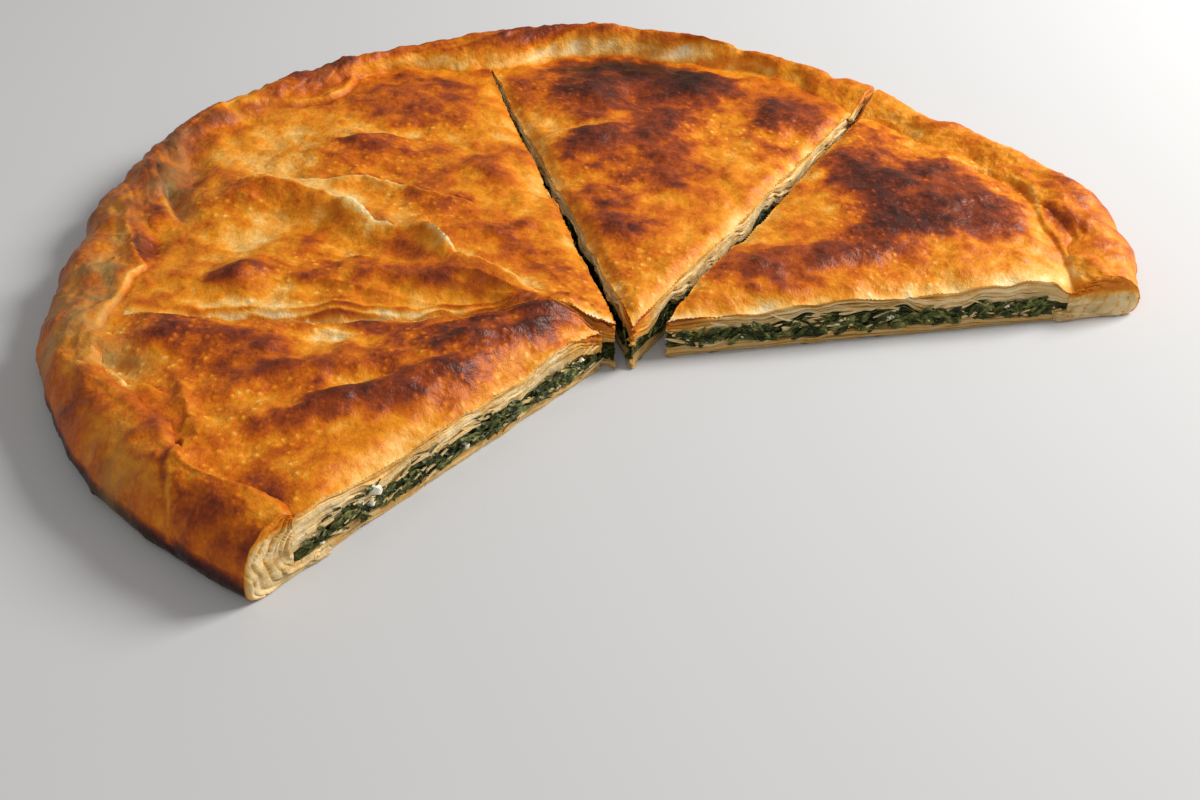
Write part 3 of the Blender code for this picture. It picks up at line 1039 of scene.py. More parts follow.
def ramp_node(tree: Tree, stops: Sequence[tuple], share: object) -> object:
    """Colours at positions from 0 to 1, as a socket.

    Args:
        tree: the node tree.
        stops: each colour with its position before it, in order.
        share: the position to read.

    Returns:
        The colour's socket.
    """
    node = tree.nodes.new("ShaderNodeValToRGB")
    elements = node.color_ramp.elements
    while len(elements) < len(stops):
        elements.new(0.5)
    for element, (position, colour) in zip(elements, stops):
        element.position = position
        element.color = (*colour, 1.0)
    feed(tree, node, {"Fac": share})
    return node.outputs["Color"]


def bump_node(tree: Tree, strength: float, depth: float, height: object) -> object:
    """Bumps of a depth in millimetres, as a socket."""
    node = tree.nodes.new("ShaderNodeBump")
    feed(tree, node, {"Strength": strength, "Distance": depth * MM, "Height": height})
    return node.outputs["Normal"]


def attribute_node(tree: Tree, name: str) -> object:
    """A painted vertex attribute, as a socket."""
    node = tree.nodes.new("ShaderNodeAttribute")
    node.attribute_name = name
    return node.outputs["Fac"]


def object_place(tree: Tree) -> object:
    """Object coordinates, as a socket."""
    return tree.nodes.new("ShaderNodeTexCoord").outputs["Object"]


def new_group(name: str, inputs: dict, outputs: Sequence[str]) -> bpy.types.ShaderNodeTree:
    """Starts a shader node group whose sockets are all numbers.

    Args:
        name: name of the group.
        inputs: input name to default value.
        outputs: names of the outputs.

    Returns:
        The node tree, with its input and output nodes in place.
    """
    tree = bpy.data.node_groups.new(name, "ShaderNodeTree")
    for title, value in inputs.items():
        socket = tree.interface.new_socket(name=title, in_out="INPUT", socket_type="NodeSocketFloat")
        socket.default_value = value
    for title in outputs:
        tree.interface.new_socket(name=title, in_out="OUTPUT", socket_type="NodeSocketFloat")
    tree.nodes.new("NodeGroupInput").name = "in"
    tree.nodes.new("NodeGroupOutput").name = "out"
    return tree


def new_material(name: str) -> tuple:
    """A new material, with its node tree and its shader."""
    material = bpy.data.materials.new(name)
    material.use_nodes = True
    return material, material.node_tree, material.node_tree.nodes["Principled BSDF"]


def make_mottle_group() -> bpy.types.ShaderNodeTree:
    """Blotches and specks of baking, the same kind on every baked surface.

    Returns:
        A group that adds mottling to a shade of browning and gives a height for the bump.
    """
    tree = new_group("oven_mottling", {"Bake": 0.4, "Strength": 0.1}, ("Bake", "Height"))
    given = tree.nodes["in"].outputs
    place = object_place(tree)
    blotch = noise_node(tree, 180.0, 6.0, place)
    speck = noise_node(tree, 700.0, 3.0, place)
    centred = math_node(tree, "SUBTRACT", blotch, 0.5)
    fine = math_node(tree, "SUBTRACT", speck, 0.5)
    both = math_node(tree, "ADD", math_node(tree, "MULTIPLY", centred, 1.4), fine)
    shift = math_node(tree, "MULTIPLY", both, given["Strength"])
    flow = noise_node(tree, 230.0, 3.0, place)
    crinkle = math_node(tree, "ABSOLUTE", math_node(tree, "SUBTRACT", flow, 0.5), 0.0)
    skin = math_node(tree, "ADD", math_node(tree, "MULTIPLY", blotch, 0.6), speck)
    feed(tree, tree.nodes["out"], {
        "Bake": math_node(tree, "ADD", shift, given["Bake"]),
        "Height": math_node(tree, "SUBTRACT", skin, math_node(tree, "MULTIPLY", crinkle, 2.4)),
    })
    return tree


@dataclass(frozen=True)
class BakedFilo:
    """Baked filo crust: colour from cream to burnt by how long each spot has baked, and by the painted shade
    and highlights that the bake attribute also carries.
    """

    name: str
    stops: tuple = (
        (0.00, (0.80, 0.62, 0.34)),
        (0.16, (0.78, 0.44, 0.11)),
        (0.32, (0.69, 0.245, 0.010)),
        (0.50, (0.50, 0.110, 0.004)),
        (0.66, (0.25, 0.043, 0.009)),
        (0.82, (0.080, 0.018, 0.010)),
        (1.00, (0.026, 0.010, 0.008)),
    )
    damp: tuple = (0.32, 0.205, 0.062, 1.0)
    roughness: float = 0.50
    glossier: float = -0.16
    specular: float = 0.14
    mottling: float = 0.25
    bump: float = 0.50
    bump_depth: float = 0.6

    def make(self, mottle: bpy.types.ShaderNodeTree) -> bpy.types.Material:
        """Builds the material.

        Args:
            mottle: the group of oven mottling.

        Returns:
            The finished material.
        """
        material, tree, shader = new_material(self.name)
        group = tree.nodes.new("ShaderNodeGroup")
        group.node_tree = mottle
        feed(tree, group, {"Strength": self.mottling, "Bake": attribute_node(tree, "bake")})
        baked = group.outputs["Bake"]
        dry = ramp_node(tree, self.stops, baked)
        gloss = math_node(tree, "MULTIPLY", baked, self.glossier)
        feed(tree, shader, {
            "Base Color": mix_node(tree, attribute_node(tree, "damp"), dry, self.damp),
            "Roughness": math_node(tree, "ADD", gloss, self.roughness),
            "Specular IOR Level": self.specular,
            "Normal": bump_node(tree, self.bump, self.bump_depth, group.outputs["Height"]),
        })
        return material


@dataclass(frozen=True)
class CookedSpinach:
    """Chopped cooked spinach: dark green, with paler stalks, moist."""

    name: str
    stops: tuple = (
        (0.38, (0.010, 0.014, 0.003)),
        (0.58, (0.055, 0.070, 0.012)),
        (0.80, (0.24, 0.24, 0.07)),
    )
    roughness: float = 0.45
    specular: float = 0.22

    def make(self) -> bpy.types.Material:
        """Builds the material.

        Returns:
            The finished material.
        """
        material, tree, shader = new_material(self.name)
        clumps = noise_node(tree, 420.0, 4.0, object_place(tree))
        shade = math_node(tree, "ADD", clumps, attribute_node(tree, "tone"))
        feed(tree, shader, {
            "Base Color": ramp_node(tree, self.stops, shade),
            "Roughness": self.roughness,
            "Specular IOR Level": self.specular,
            "Normal": bump_node(tree, 0.6, 0.7, clumps),
        })
        return material


@dataclass(frozen=True)
class FetaCrumb:
    """White feta, a little uneven in shade."""

    name: str
    white: tuple = (0.82, 0.79, 0.66, 1.0)
    shade: tuple = (0.62, 0.57, 0.40, 1.0)
    roughness: float = 0.5

    def make(self) -> bpy.types.Material:
        """Builds the material.

        Returns:
            The finished material.
        """
        material, tree, shader = new_material(self.name)
        grain = noise_node(tree, 700.0, 3.0, object_place(tree))
        feed(tree, shader, {
            "Base Color": mix_node(tree, grain, self.shade, self.white),
            "Roughness": self.roughness,
            "Normal": bump_node(tree, 0.4, 0.4, grain),
        })
        return material


@dataclass
class Finishes:
    """Every material of the pie."""

    crust: bpy.types.Material
    spinach: bpy.types.Material
    feta: bpy.types.Material


# ---------------------------------------------------------------- layers of a slice


def dress(piece: Piece, material: bpy.types.Material, nodes: Sequence[str]) -> None:
    """Gives a finished piece its material, hangs it under the body's empty, and hides the CAD parts that it
    replaces.

    Args:
        piece: the finished piece.
        material: its only material.
        nodes: CAD nodes that it replaces.
    """
    piece.data.materials.clear()
    piece.data.materials.append(material)
    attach(piece, BODY)
    if nodes:
        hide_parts(*nodes)


@dataclass(frozen=True)
class CutWall:
    """Rows of a cut face, from one surface's edge down or up to another level.

    Each sheet is a ledge that stands out from the soft dough between the sheets by a changing amount.
    """

    sheets: int
    sheet_share: float
    recess: float
    seed: int
    slope: float = 0.12

    def rows(self) -> list:
        """Shares of the way at which the rows lie, each with how far it is out: 1 on a sheet, 0 between.

        Returns:
            Each row's share of the way, how far it is out, and its sheet's number.
        """
        rows = []
        drawn = Random(self.seed).uniform(0.0, 1.0, self.sheets - 1)
        edges = np.sort(drawn * 0.45 + 0.55 * np.linspace(0.1, 0.9, self.sheets - 1))
        starts = np.concatenate(([0.0], edges))
        ends = np.concatenate((edges, [1.0]))
        for number, (start, end) in enumerate(zip(starts, ends)):
            thick = (end - start) * self.sheet_share
            slope = self.slope * (end - start)
            if number:
                rows.append((start, 1.0, number))
            rows.append((start + thick, 1.0, number))
            rows.append((start + thick + slope, 0.0, number))
            if number < self.sheets - 1:
                rows.append((end - slope, 0.0, number))
        rows.append((1.0, 0.0, self.sheets - 1))
        return rows

    def set_back(self, along: Places, out: float, number: int, ragged: float) -> Places:
        """How far behind the knife's plane a row is, in millimetres, along the cut.

        Args:
            along: places along the cut in millimetres.
            out: how far the row is out.
            number: number of the row's sheet.
            ragged: how much the edge wanders, in millimetres.

        Returns:
            The set-back at each place.
        """
        ripple = Ripple(self.seed + 31)
        uneven = ragged * (1.0 + ripple.rough(along / 7.0 + 13.0 * number, along * 0.0 + 3.1 * number, 3))
        hollow = ease(ripple.at(along / 16.0 + 40.0, along * 0.0 + 1.7 * number) * 2.2 - 0.9)
        return uneven + (1.0 - out) * (self.recess + 1.6 * hollow)


@dataclass
class SliceLayer:
    """A layer of one slice: a sheet over its plan, closed down or up to a level behind its cut faces."""

    form: SliceForm
    name: str
    step: float
    reach_share: float
    surface: Callable[[Places], Places]
    far_side: Callable[[Places], Places]
    wall: CutWall
    length: float = 0.225
    margin: float = 0.002
    at_cut: float = 0.05

    def outline_grid(self) -> Piece:
        """A level grid over the slice's plan, trimmed by both cuts.

        Returns:
            The trimmed grid.
        """
        first, last, tip = self.form.first, self.form.last, self.form.tip
        middle = (first.direction + last.direction).normalized()
        across = Vector((-middle.y, middle.x))
        half_angle = 0.5 * first.direction.angle(last.direction)
        half_width = math.tan(half_angle) * self.length + self.margin
        piece = new_grid(self.name, int(self.length / self.step), int(2 * half_width / self.step))

        def place(u: Places, v: Places) -> Places:
            """Level positions of a grid's shares, from the tip outwards and from side to side."""
            along = u * self.length - 0.5 * self.margin
            side = (v * 2.0 - 1.0) * half_width
            x = tip.x + middle.x * along + across.x * side
            y = tip.y + middle.y * along + across.y * side
            return np.column_stack((x, y, np.zeros_like(x)))

        shape_grid(piece, place)
        places = read_places(piece)
        near = np.minimum(*self.form.depth(places)) * MM
        far = PLAN.fold_share(*about_centre(places))
        remove_where(piece, (near < -1.6 * self.step) | (far > self.reach_share))
        trim(piece, (first, last))
        return piece

    def build(self) -> Piece:
        """Makes the closed layer.

        Returns:
            The piece, with the number of each wall row painted on as "row", and 0 off the walls.
        """
        piece = self.outline_grid()
        places = read_places(piece)
        places[:, 2] = self.surface(places)
        write_places(piece, places)
        home = piece.data.attributes.new("home", "FLOAT_VECTOR", "POINT")
        home.data.foreach_set("vector", places.astype(np.float32).ravel())
        paint(piece, "row", np.zeros(len(places)))
        with edit_mode(piece, "DESELECT"):
            bpy.ops.mesh.select_mode(type="EDGE")
            bpy.ops.mesh.select_non_manifold(
                extend=False, use_wire=False, use_boundary=True, use_multi_face=False,
                use_non_contiguous=False, use_verts=False,
            )
        self.place_row(piece, 0.0, 1.0, 0)
        with edit_mode(piece):
            bpy.ops.mesh.duplicate()
            bpy.ops.mesh.separate(type="SELECTED")
        ring = next(other for other in bpy.context.selected_objects if other != piece)
        with edit_mode(ring, "SELECT"):
            bpy.ops.mesh.select_mode(type="EDGE")
        for share, out, number in self.wall.rows():
            with edit_mode(ring):
                bpy.ops.mesh.extrude_region_move()
            self.place_row(ring, share, out, number)
        with edit_mode(ring):
            bpy.ops.mesh.edge_face_add()
        join((piece, ring), self.name)
        with edit_mode(piece, "SELECT"):
            bpy.ops.mesh.remove_doubles(threshold=ON_PLANE)
        unpaint(piece, "home")
        face_outwards(piece)
        smooth_by_angle(piece, 50.0)
        return piece

    def place_row(self, piece: Piece, share: float, out: float, number: int) -> None:
        """Places the selected border of the wall.

        Args:
            piece: the layer.
            share: share of the way from the surface to the far level.
            out: 1 where the row is the edge of a sheet, 0 between sheets.
            number: number of the sheet, from the surface.
        """
        mask = selected(piece)
        places = read_places(piece)
        home = np.empty(places.size, np.float32)
        piece.data.attributes["home"].data.foreach_get("vector", home)
        home = home.reshape(-1, 3)[mask].astype(float)
        row = home.copy()
        x, y = home[:, 0], home[:, 1]
        drift = Ripple(self.wall.seed + 7).rough((x - y) / MM / 14.0, y / MM / 14.0, 2)
        share = np.clip(share + 0.20 * drift * math.sin(math.pi * share), 0.0, 1.0)
        row[:, 2] += (self.far_side(home) - home[:, 2]) * share
        held = 0.15 + 0.85 * PLAN.clear_of_fold(*about_centre(home), 24.0)
        lines = (self.form.first, self.form.last)
        for line, (inside, look), start in zip(lines, self.form.sides(home), (300.0, 650.0)):
            along = ((x - line.point.x) * line.direction.x + (y - line.point.y) * line.direction.y) / MM
            back = self.wall.set_back(along + start, out, number, look.ragged) * MM * (inside < self.at_cut)
            back *= held
            row[:, 0] += line.inward.x * back
            row[:, 1] += line.inward.y * back
        places[mask] = row
        write_places(piece, places)
        rows = painted(piece, "row")
        rows[mask] = 1.0 + number + 0.5 * (1.0 - out)
        paint(piece, "row", rows)


@dataclass
class Slice:
    """One slice: floor of the base crust, filling, and top crust."""

    spec: SliceSpec
    finishes: Finishes
    skin_step: float = 0.62
    floor_step: float = 2.5
    gap: float = 0.1
    top_wall: CutWall = CutWall(6, 0.5, 0.6, 40)
    filling_wall: CutWall = CutWall(5, 0.4, 0.7, 60)
    floor_wall: CutWall = CutWall(4, 0.5, 0.5, 90)
    streaks: Ripple = Ripple(71)
    leaf_tones: Ripple = Ripple(81)
    form: SliceForm = field(init=False)

    def __post_init__(self) -> None:
        """Works out the slice's form."""
        self.form = SliceForm(self.spec)

    def make_top(self, nodes: Sequence[str]) -> Piece:
        """The puffed top crust, with its sheets showing at the cuts.

        Args:
            nodes: CAD nodes that it replaces.

        Returns:
            The dressed piece.
        """

        def surface(places: Places) -> Places:
            """Height of the crust in metres."""
            x, y = about_centre(places)
            return self.form.top_height(places, RELIEF.patches(x, y), RELIEF.fine(x, y)) * MM

        piece = SliceLayer(
            self.form, f"{self.spec.name}_top_crust", self.skin_step * MM, 0.30, surface,
            lambda places: FILLING_TOP.height(places) + 2.0 * self.gap * MM, self.top_wall,
        ).build()
        self.brown(piece)
        unpaint(piece, "row")
        dress(piece, self.finishes.crust, nodes)
        return piece

    def brown(self, piece: Piece) -> None:
        """Paints how the top crust has baked, and how damp the dough inside is.

        Args:
            piece: the top crust.
        """
        places = read_places(piece)
        x, y = about_centre(places)
        rows = painted(piece, "row")
        # the browning also holds the laps' painted highlights and painted shadow lines
        bake = self.spec.bake + RELIEF.browning(x, y)
        for inside, look in self.form.sides(places):
            reach = look.pale_reach * (1.0 + 0.5 * RELIEF.middle.rough(x / 9.0, y / 9.0, 2))
            bake -= look.pale * (1.0 - ease(inside / np.maximum(reach, 1.0)))
        depth = np.clip((rows - 1.0) / self.top_wall.sheets, 0.0, 1.0)
        streak = self.streaks.rough((x + y) / 9.0, places[:, 2] / MM / 1.6 + (x - y) / 9.0, 3)
        cut_bake = 0.16 * (1.0 - depth) ** 4 + 0.02 + 0.05 * streak
        cut_bake += 0.42 * (1.0 - ease((self.form.from_tip(places) - 6.0) / 14.0)) * (1.0 - 0.6 * depth)
        cut_damp = np.clip(0.04 + 0.30 * depth + 0.25 * streak, 0.0, 0.8)
        on_wall = rows > 0.5
        paint(piece, "bake", np.where(on_wall, cut_bake, bake))
        paint(piece, "damp", np.where(on_wall, cut_damp, RELIEF.dampness(x, y)))

    def make_filling(self) -> Piece:
        """The spinach, lumpy at its cut faces.

        Returns:
            The dressed piece.
        """
        piece = SliceLayer(
            self.form, f"{self.spec.name}_spinach", self.floor_step * MM, -0.02, FILLING_TOP.height,
            lambda places: FLOOR_TOP.height(places) + self.gap * MM, self.filling_wall,
        ).build()
        places = read_places(piece)
        x, y = places[:, 0] / MM, places[:, 1] / MM
        paint(piece, "tone", 0.10 * self.leaf_tones.rough(x / 5.0, y / 5.0, 2))
        unpaint(piece, "row")
        dress(piece, self.finishes.spinach, [f"{self.spec.name}_filling"])
        return piece

    def make_floor(self) -> Piece:
        """The base crust under the filling.

        Returns:
            The dressed piece.
        """
        piece = SliceLayer(
            self.form, f"{self.spec.name}_floor", self.floor_step * MM, -0.10,
            lambda places: np.zeros(len(places)), FLOOR_TOP.height, self.floor_wall,
        ).build()
        x, y = about_centre(read_places(piece))
        on_wall = painted(piece, "row") > 0.5
        paint(piece, "bake", np.where(on_wall, 0.10, 0.56 + 0.10 * RELIEF.tint.rough(x / 13.0, y / 13.0, 4)))
        paint(piece, "damp", np.where(on_wall, 0.45, 0.0))
        unpaint(piece, "row")
        dress(piece, self.finishes.crust, [f"{self.spec.name}_base"])
        return piece


class Part(IntEnum):
    """Parts of the rim's section, in the order in which it goes round."""

    TOP = 0
    SIDE = 1
    BOTTOM = 2
    INNER = 3


@dataclass(frozen=True)
class RimSkin:
    """For each vertex of the rim, its place about the centre and the parts of its relief.

    The run is the way over the fold and down the side in millimetres. The sheets lie in terraces with
    edges, and the rope is the relief where the fold is twisted.
    """

    x: Places
    y: Places
    run: Places
    lumps: Places
    fine: Places
    sheets: Places
    edge: Places
    rope: Places
    twist: Places


@dataclass
class Rim:
    """The crust's side and its fold over the top, as one body along neighbouring slices."""

    name: str
    slices: tuple
    finishes: Finishes
    step: float = 0.7
    wall_share: float = 0.02
    margin: float = 15.0
    inner_reach: float = 30.0
    floor_top: float = 3.0
    crust_down_to: float = 16.0
    arc_radius: float = 175.0
    top_points: int = 46
    side_points: int = 13
    bottom_points: int = 6
    inner_points: int = 10
    end_rows: int = 120
    end_grid: tuple = (130, 30)
    lumps: Ripple = Ripple(101)
    grain: Ripple = Ripple(102)
    bubbles: Bubbles = Bubbles(103, 5.0, 0.35, 1.5)
    tint: Ripple = Ripple(104)
    waver: Ripple = Ripple(105)
    laps: Ripple = Ripple(106)
    greying: Ripple = Ripple(107)
    ropes: Ripple = Ripple(108)
    tearing: Ripple = Ripple(109)

    def section(self) -> tuple:
        """The section's points, from the lip outwards, down the side and back inside.

        Returns:
            Arrays of the share across the fold, of the share along each part, and of the part's number.
        """
        counts = (self.top_points, self.side_points, self.bottom_points, self.inner_points)
        top, side, bottom, inner = counts
        share = np.concatenate((
            np.linspace(-0.04, 1.0, top), np.ones(side + bottom), np.linspace(1.0, 0.0, inner),
        ))
        local = np.concatenate((
            np.zeros(top), np.linspace(0.0, 1.0, side + 1)[1:], np.linspace(0.0, 1.0, bottom + 1)[1:],
            np.linspace(0.0, 1.0, inner),
        ))
        return share, local, np.repeat(list(Part), counts)

    def arc(self, angle: Places) -> Places:
        """Length along the rim in millimetres, of directions in degrees."""
        return np.radians(angle) * self.arc_radius

    def places(self, angle: Places, row: Places) -> Places:
        """Positions of the section's points in directions in degrees.

        Args:
            angle: directions in degrees.
            row: numbers of the section's points.

        Returns:
            Rows of positions in metres.
        """
        share, local, part = (values[row] for values in self.section())
        radius, width = PLAN.rim(angle)[:2]
        arc = self.arc(angle)
        uneven = np.clip(self.waver.rough(arc / 17.0, np.zeros_like(arc), 3), -1.2, 1.2)
        waver = 1.0 + 0.13 * uneven * (1.0 - ease(share / 0.5))
        lip, _, merge, narrow = PLAN.look(angle)[5:]
        width = width * waver * narrow
        distance = radius - width * (1.0 - share)
        aim = np.radians(angle)
        fine = RELIEF.fine(distance * np.cos(aim), distance * np.sin(aim))
        low = PLAN.edge_level(angle) + lip + fine
        rising = np.clip((share + 0.03) / merge, 0.0, 1.0)
        rising = rising * (2.0 - rising)
        height = low + (PLAN.fold_height(angle, share) + 0.5 * fine - low) * rising
        curve = 1.0 - np.sqrt(np.clip(1.0 - local**2, 0.0, 1.0))
        distance = np.where(part == Part.SIDE, radius - PLAN.foot_setback * curve, distance)
        height = np.where(part == Part.SIDE, PLAN.bulge_height * (1.0 - local), height)
        under = radius - PLAN.foot_setback - (self.inner_reach - PLAN.foot_setback) * local
        distance = np.where(part == Part.BOTTOM, under, distance)
        height = np.where(part == Part.BOTTOM, 0.0, height)
        wall = radius - width * (1.0 - self.wall_share)
        inner = radius - self.inner_reach
        floor = inner + (wall - inner) * np.clip((local - 0.12) / 0.33, 0.0, 1.0)
        share_back = self.wall_share * (1.0 - np.clip((local - 0.57) / 0.43, 0.0, 1.0))
        back = radius - width * (1.0 - share_back)
        under_fold = PLAN.fold_underside(angle, share_back) - PLAN.fold_clearance + 0.1
        distance = np.where(part == Part.INNER, np.where(local < 0.5, floor, back), distance)
        inside = np.where(local < 0.5, self.floor_top * ease(local / 0.12), under_fold)
        height = np.where(part == Part.INNER, inside, height)
        x = CENTRE.x + distance * MM * np.cos(aim)
        y = CENTRE.y + distance * MM * np.sin(aim)
        return np.column_stack((x, y, height * MM))

    def build(self) -> Piece:
        """Makes the closed rim, cut off at its two ends.

        Returns:
            The dressed piece.
        """
        first = SliceForm(self.slices[0]).first
        last = SliceForm(self.slices[-1]).last
        start = self.slices[0].first_cut.heading - self.margin
        end = self.slices[-1].last_cut.heading + self.margin
        share, _, part = self.section()
        count = len(share)
        piece = new_grid(self.name, int(self.arc(end - start) / self.step), count)
        flat = read_places(piece)
        row = np.rint((flat[:, 1] + 0.5) * count).astype(int) % count
        angle = start + (end - start) * (flat[:, 0] + 0.5)
        write_places(piece, self.places(angle, row))
        marks = {"share": share[row], "part": part[row], "angle": angle, "place_in_section": row}
        for name, values in marks.items():
            paint(piece, name, values)
        with edit_mode(piece, "SELECT"):
            bpy.ops.mesh.remove_doubles(threshold=0.02 * MM)
            bpy.ops.mesh.normals_make_consistent(inside=False)
        self.wrinkle(piece)
        trim(piece, (first, last))
        caps = [self.close_end(piece, line) for line in (first, last)]
        unpaint(piece, *marks)
        join([piece, *caps], self.name)
        face_outwards(piece)
        smooth_by_angle(piece, 60.0)
        dress(piece, self.finishes.crust, [f"{spec.name}_base" for spec in self.slices])
        return piece

    def terraces(self, arc: Places, run: Places) -> tuple:
        """Sheets that lie over each other along the rim: their height, and their edges' share.

        Args:
            arc: length along the rim in millimetres.
            run: way over the fold in millimetres.

        Returns:
            The sheets' height and their edges' share.
        """
        drift = 1.6 * self.laps.at(arc / 40.0, run / 25.0) + run / 12.0 + arc / 34.0
        share = drift - np.floor(drift)
        step = ease(share / 0.16)
        edge = np.exp(-(((share - 0.10) / 0.08) ** 2))
        return (1.0 - share) * step, edge

    def wrinkle(self, piece: Piece) -> None:
        """Pushes the outer skin in and out along its normals, and paints how it has baked.

        Args:
            piece: the rim, before it is cut.
        """
        places = read_places(piece)
        normals = np.empty(len(places) * 3, np.float32)
        piece.data.vertices.foreach_get("normal", normals)
        normals = normals.reshape(-1, 3)
        share, part, angle = (painted(piece, name) for name in ("share", "part", "angle"))
        x, y = about_centre(places)
        arc = self.arc(angle)
        width = PLAN.rim(angle)[1]
        on_top, on_skin = part < Part.SIDE - 0.5, part < Part.BOTTOM - 0.5
        run = np.where(on_top, share * width, width + 1.2 * (PLAN.bulge_height - places[:, 2] / MM))
        lumps = self.lumps.rough((arc + 0.4 * run) / 15.0, run / 11.0, 4)
        fine = self.grain.rough(arc / 5.0, run / 4.0, 3)
        sheets, edge = self.terraces(arc, run)
        grey, lip, _, _, narrow = PLAN.look(angle)[4:]
        flap = ease((lip - 0.6) / 1.0)
        twist = ease((1.0 - narrow) / 0.10)
        rope = self.ropes.rough((arc + 4.5 * run) / 17.0, run / 60.0, 2) * twist
        relief = 0.9 * rope + (0.75 + 3.0 * grey - 0.35 * flap) * lumps + 0.25 * fine
        relief = relief + (0.4 - 0.2 * flap) * sheets + 0.4 * self.bubbles.at(arc, run)
        outer = np.where(on_skin, 1.0, 0.0) * ease((share + 0.02) / 0.35)
        outer *= np.where(on_top, 1.0, ease(places[:, 2] / MM / 4.0))
        places += normals * (relief * outer * MM)[:, None]
        upper = np.where(on_top, 1.0, 0.0) * ease((share + 0.02) / 0.2)
        places[:, 2] += RELIEF.patches(x, y) * upper * (1.0 - ease((share - 0.7) / 0.3)) * MM
        places[:, 2] = np.maximum(places[:, 2], 0.0)
        write_places(piece, places)
        self.brown(piece, RimSkin(x, y, run, lumps, fine, sheets, edge, rope, twist))

    def brown(self, piece: Piece, skin: RimSkin) -> None:
        """Paints how the rim has baked.

        Args:
            piece: the rim.
            skin: its places and relief.
        """
        share, part, angle = (painted(piece, name) for name in ("share", "part", "angle"))
        arc = self.arc(angle)
        run, lumps = skin.run, skin.lumps
        height = read_places(piece)[:, 2] / MM
        inner, crest, side, foot, grey, lip = PLAN.look(angle)[:6]
        crest_share = PLAN.rim(angle)[4]
        # the browning also holds the laps' painted highlights and painted shadow lines
        browning = RELIEF.browning(skin.x, skin.y)
        pale_face = ease((0.34 - inner) / 0.10)
        own = inner + (crest - inner) * ease((share - 0.30 * crest_share) / 0.24)
        own += (side - crest) * ease((share - 0.72) / 0.25)
        own += 0.15 * skin.rope + 0.06 * self.tint.rough(arc / 19.0, run / 9.0, 4)
        own += 0.05 * lumps + 0.05 * skin.fine - 0.05 * skin.edge + 0.03 * skin.sheets
        own += 0.6 * browning * (1.0 - ease((share - 0.8) / 0.2)) * (1.0 - pale_face)
        reach = 0.30 - 0.18 * pale_face + 0.30 * skin.twist * (1.0 - pale_face)
        shared = np.where(lip > 0.8, 0.0, 1.0 - ease((share + 0.02) / reach))
        bake = own + (0.40 + browning - own) * shared
        burnt_height = 1.4 + 4.4 * ease((foot - 0.85) / 0.15) + 0.9 * lumps
        burnt = (1.0 - ease((height - burnt_height) / 2.4)) * (share > 0.85)
        bake += (foot - bake) * burnt
        inner_side = part > Part.INNER - 0.5
        bake = np.where(part > Part.BOTTOM - 0.5, 0.62 + 0.08 * lumps, bake)
        near_lip = painted(piece, "place_in_section") > len(self.section()[0]) - 5.5
        bake = np.where(inner_side, np.where(near_lip, 0.40, 0.12), bake)
        paint(piece, "bake", bake)
        blotches = np.clip(1.0 + 2.2 * self.greying.rough(arc / 12.0, run / 8.0, 4), 0.0, 3.2)
        damp = grey * blotches * (1.0 - burnt) * ease((share + 0.02) / 0.35)
        damp = np.clip(damp + RELIEF.dampness(skin.x, skin.y), 0.0, 0.8)
        paint(piece, "damp", np.where(inner_side, np.where(near_lip, 0.0, 0.3), damp))

    def close_end(self, piece: Piece, line: CutLine) -> Piece:
        """Closes one cut end of the rim, and covers it with the torn sheets of dough, with painted shade
        between the sheets.

        Args:
            piece: the rim, already cut.
            line: the side of the cut.

        Returns:
            The sheets, as a closed piece.
        """
        places = read_places(piece)
        at_cut = np.abs(line.inside(places[:, 0], places[:, 1])) < ON_PLANE
        select_where(piece, at_cut)
        with edit_mode(piece):
            bpy.ops.mesh.edge_face_add()
        paths = self.end_paths(piece, at_cut)
        cap = new_grid(f"{self.name}_end", *self.end_grid)

        def spread(u: Places, v: Places) -> Places:
            """Positions of a grid's shares, around the end and from its skin inwards."""
            shares = np.linspace(0.0, 1.0, self.end_rows)
            skin, core = (
                np.column_stack([np.interp(u, shares, path[:, i]) for i in range(3)]) for path in paths
            )
            sheet = self.sheet_number(u, v)
            ledge = 1.0 - np.mod(sheet, 1.0) ** 3
            torn = 0.8 + 0.5 * self.tearing.at(u * 5.0 + 5.0, np.floor(sheet) * 3.7)
            torn = torn + 0.25 * self.tearing.rough(u * 9.0, v * 3.0, 2)
            border = ease(np.minimum(v, 1.0 - v) / 0.10) * ease(np.minimum(u, 1.0 - u) / 0.03)
            out = (0.06 + border * ledge * torn) * MM
            return skin + (core - skin) * v[:, None] + np.outer(out, -line.inward.to_3d())

        flat = read_places(cap)
        u, v = flat[:, 0] + 0.5, flat[:, 1] + 0.5
        shape_grid(cap, spread)
        sheet = np.mod(self.sheet_number(u, v), 1.0)
        # painted shade: dark lines in the recess at the foot of each sheet; darker towards the outer skin
        shade = 0.03 + 0.24 * ease((sheet - 0.72) / 0.28) + 0.30 * (1.0 - ease(v / 0.07))
        shade += 0.04 * self.tearing.rough(u * 30.0, v * 6.0, 2)
        high = (read_places(cap)[:, 2] / MM - self.crust_down_to) / 3.5
        shade += (0.42 - shade) * ease(high + 0.2 * self.tearing.rough(u * 11.0, v * 3.0, 2))
        paint(cap, "bake", shade)
        damp = np.clip(0.25 + 0.35 * self.tearing.rough(u * 12.0, v * 4.0, 2), 0.0, 0.7)
        paint(cap, "damp", damp * (1.0 - ease(high)))
        thicken(cap, 0.5, 0.0)
        return cap

    def sheet_number(self, along: Places, across: Places) -> Places:
        """Number of the dough sheet at shares along and across a cut end."""
        return across * 6.5 + 1.1 * self.tearing.rough(along * 6.0, across * 1.2, 2)

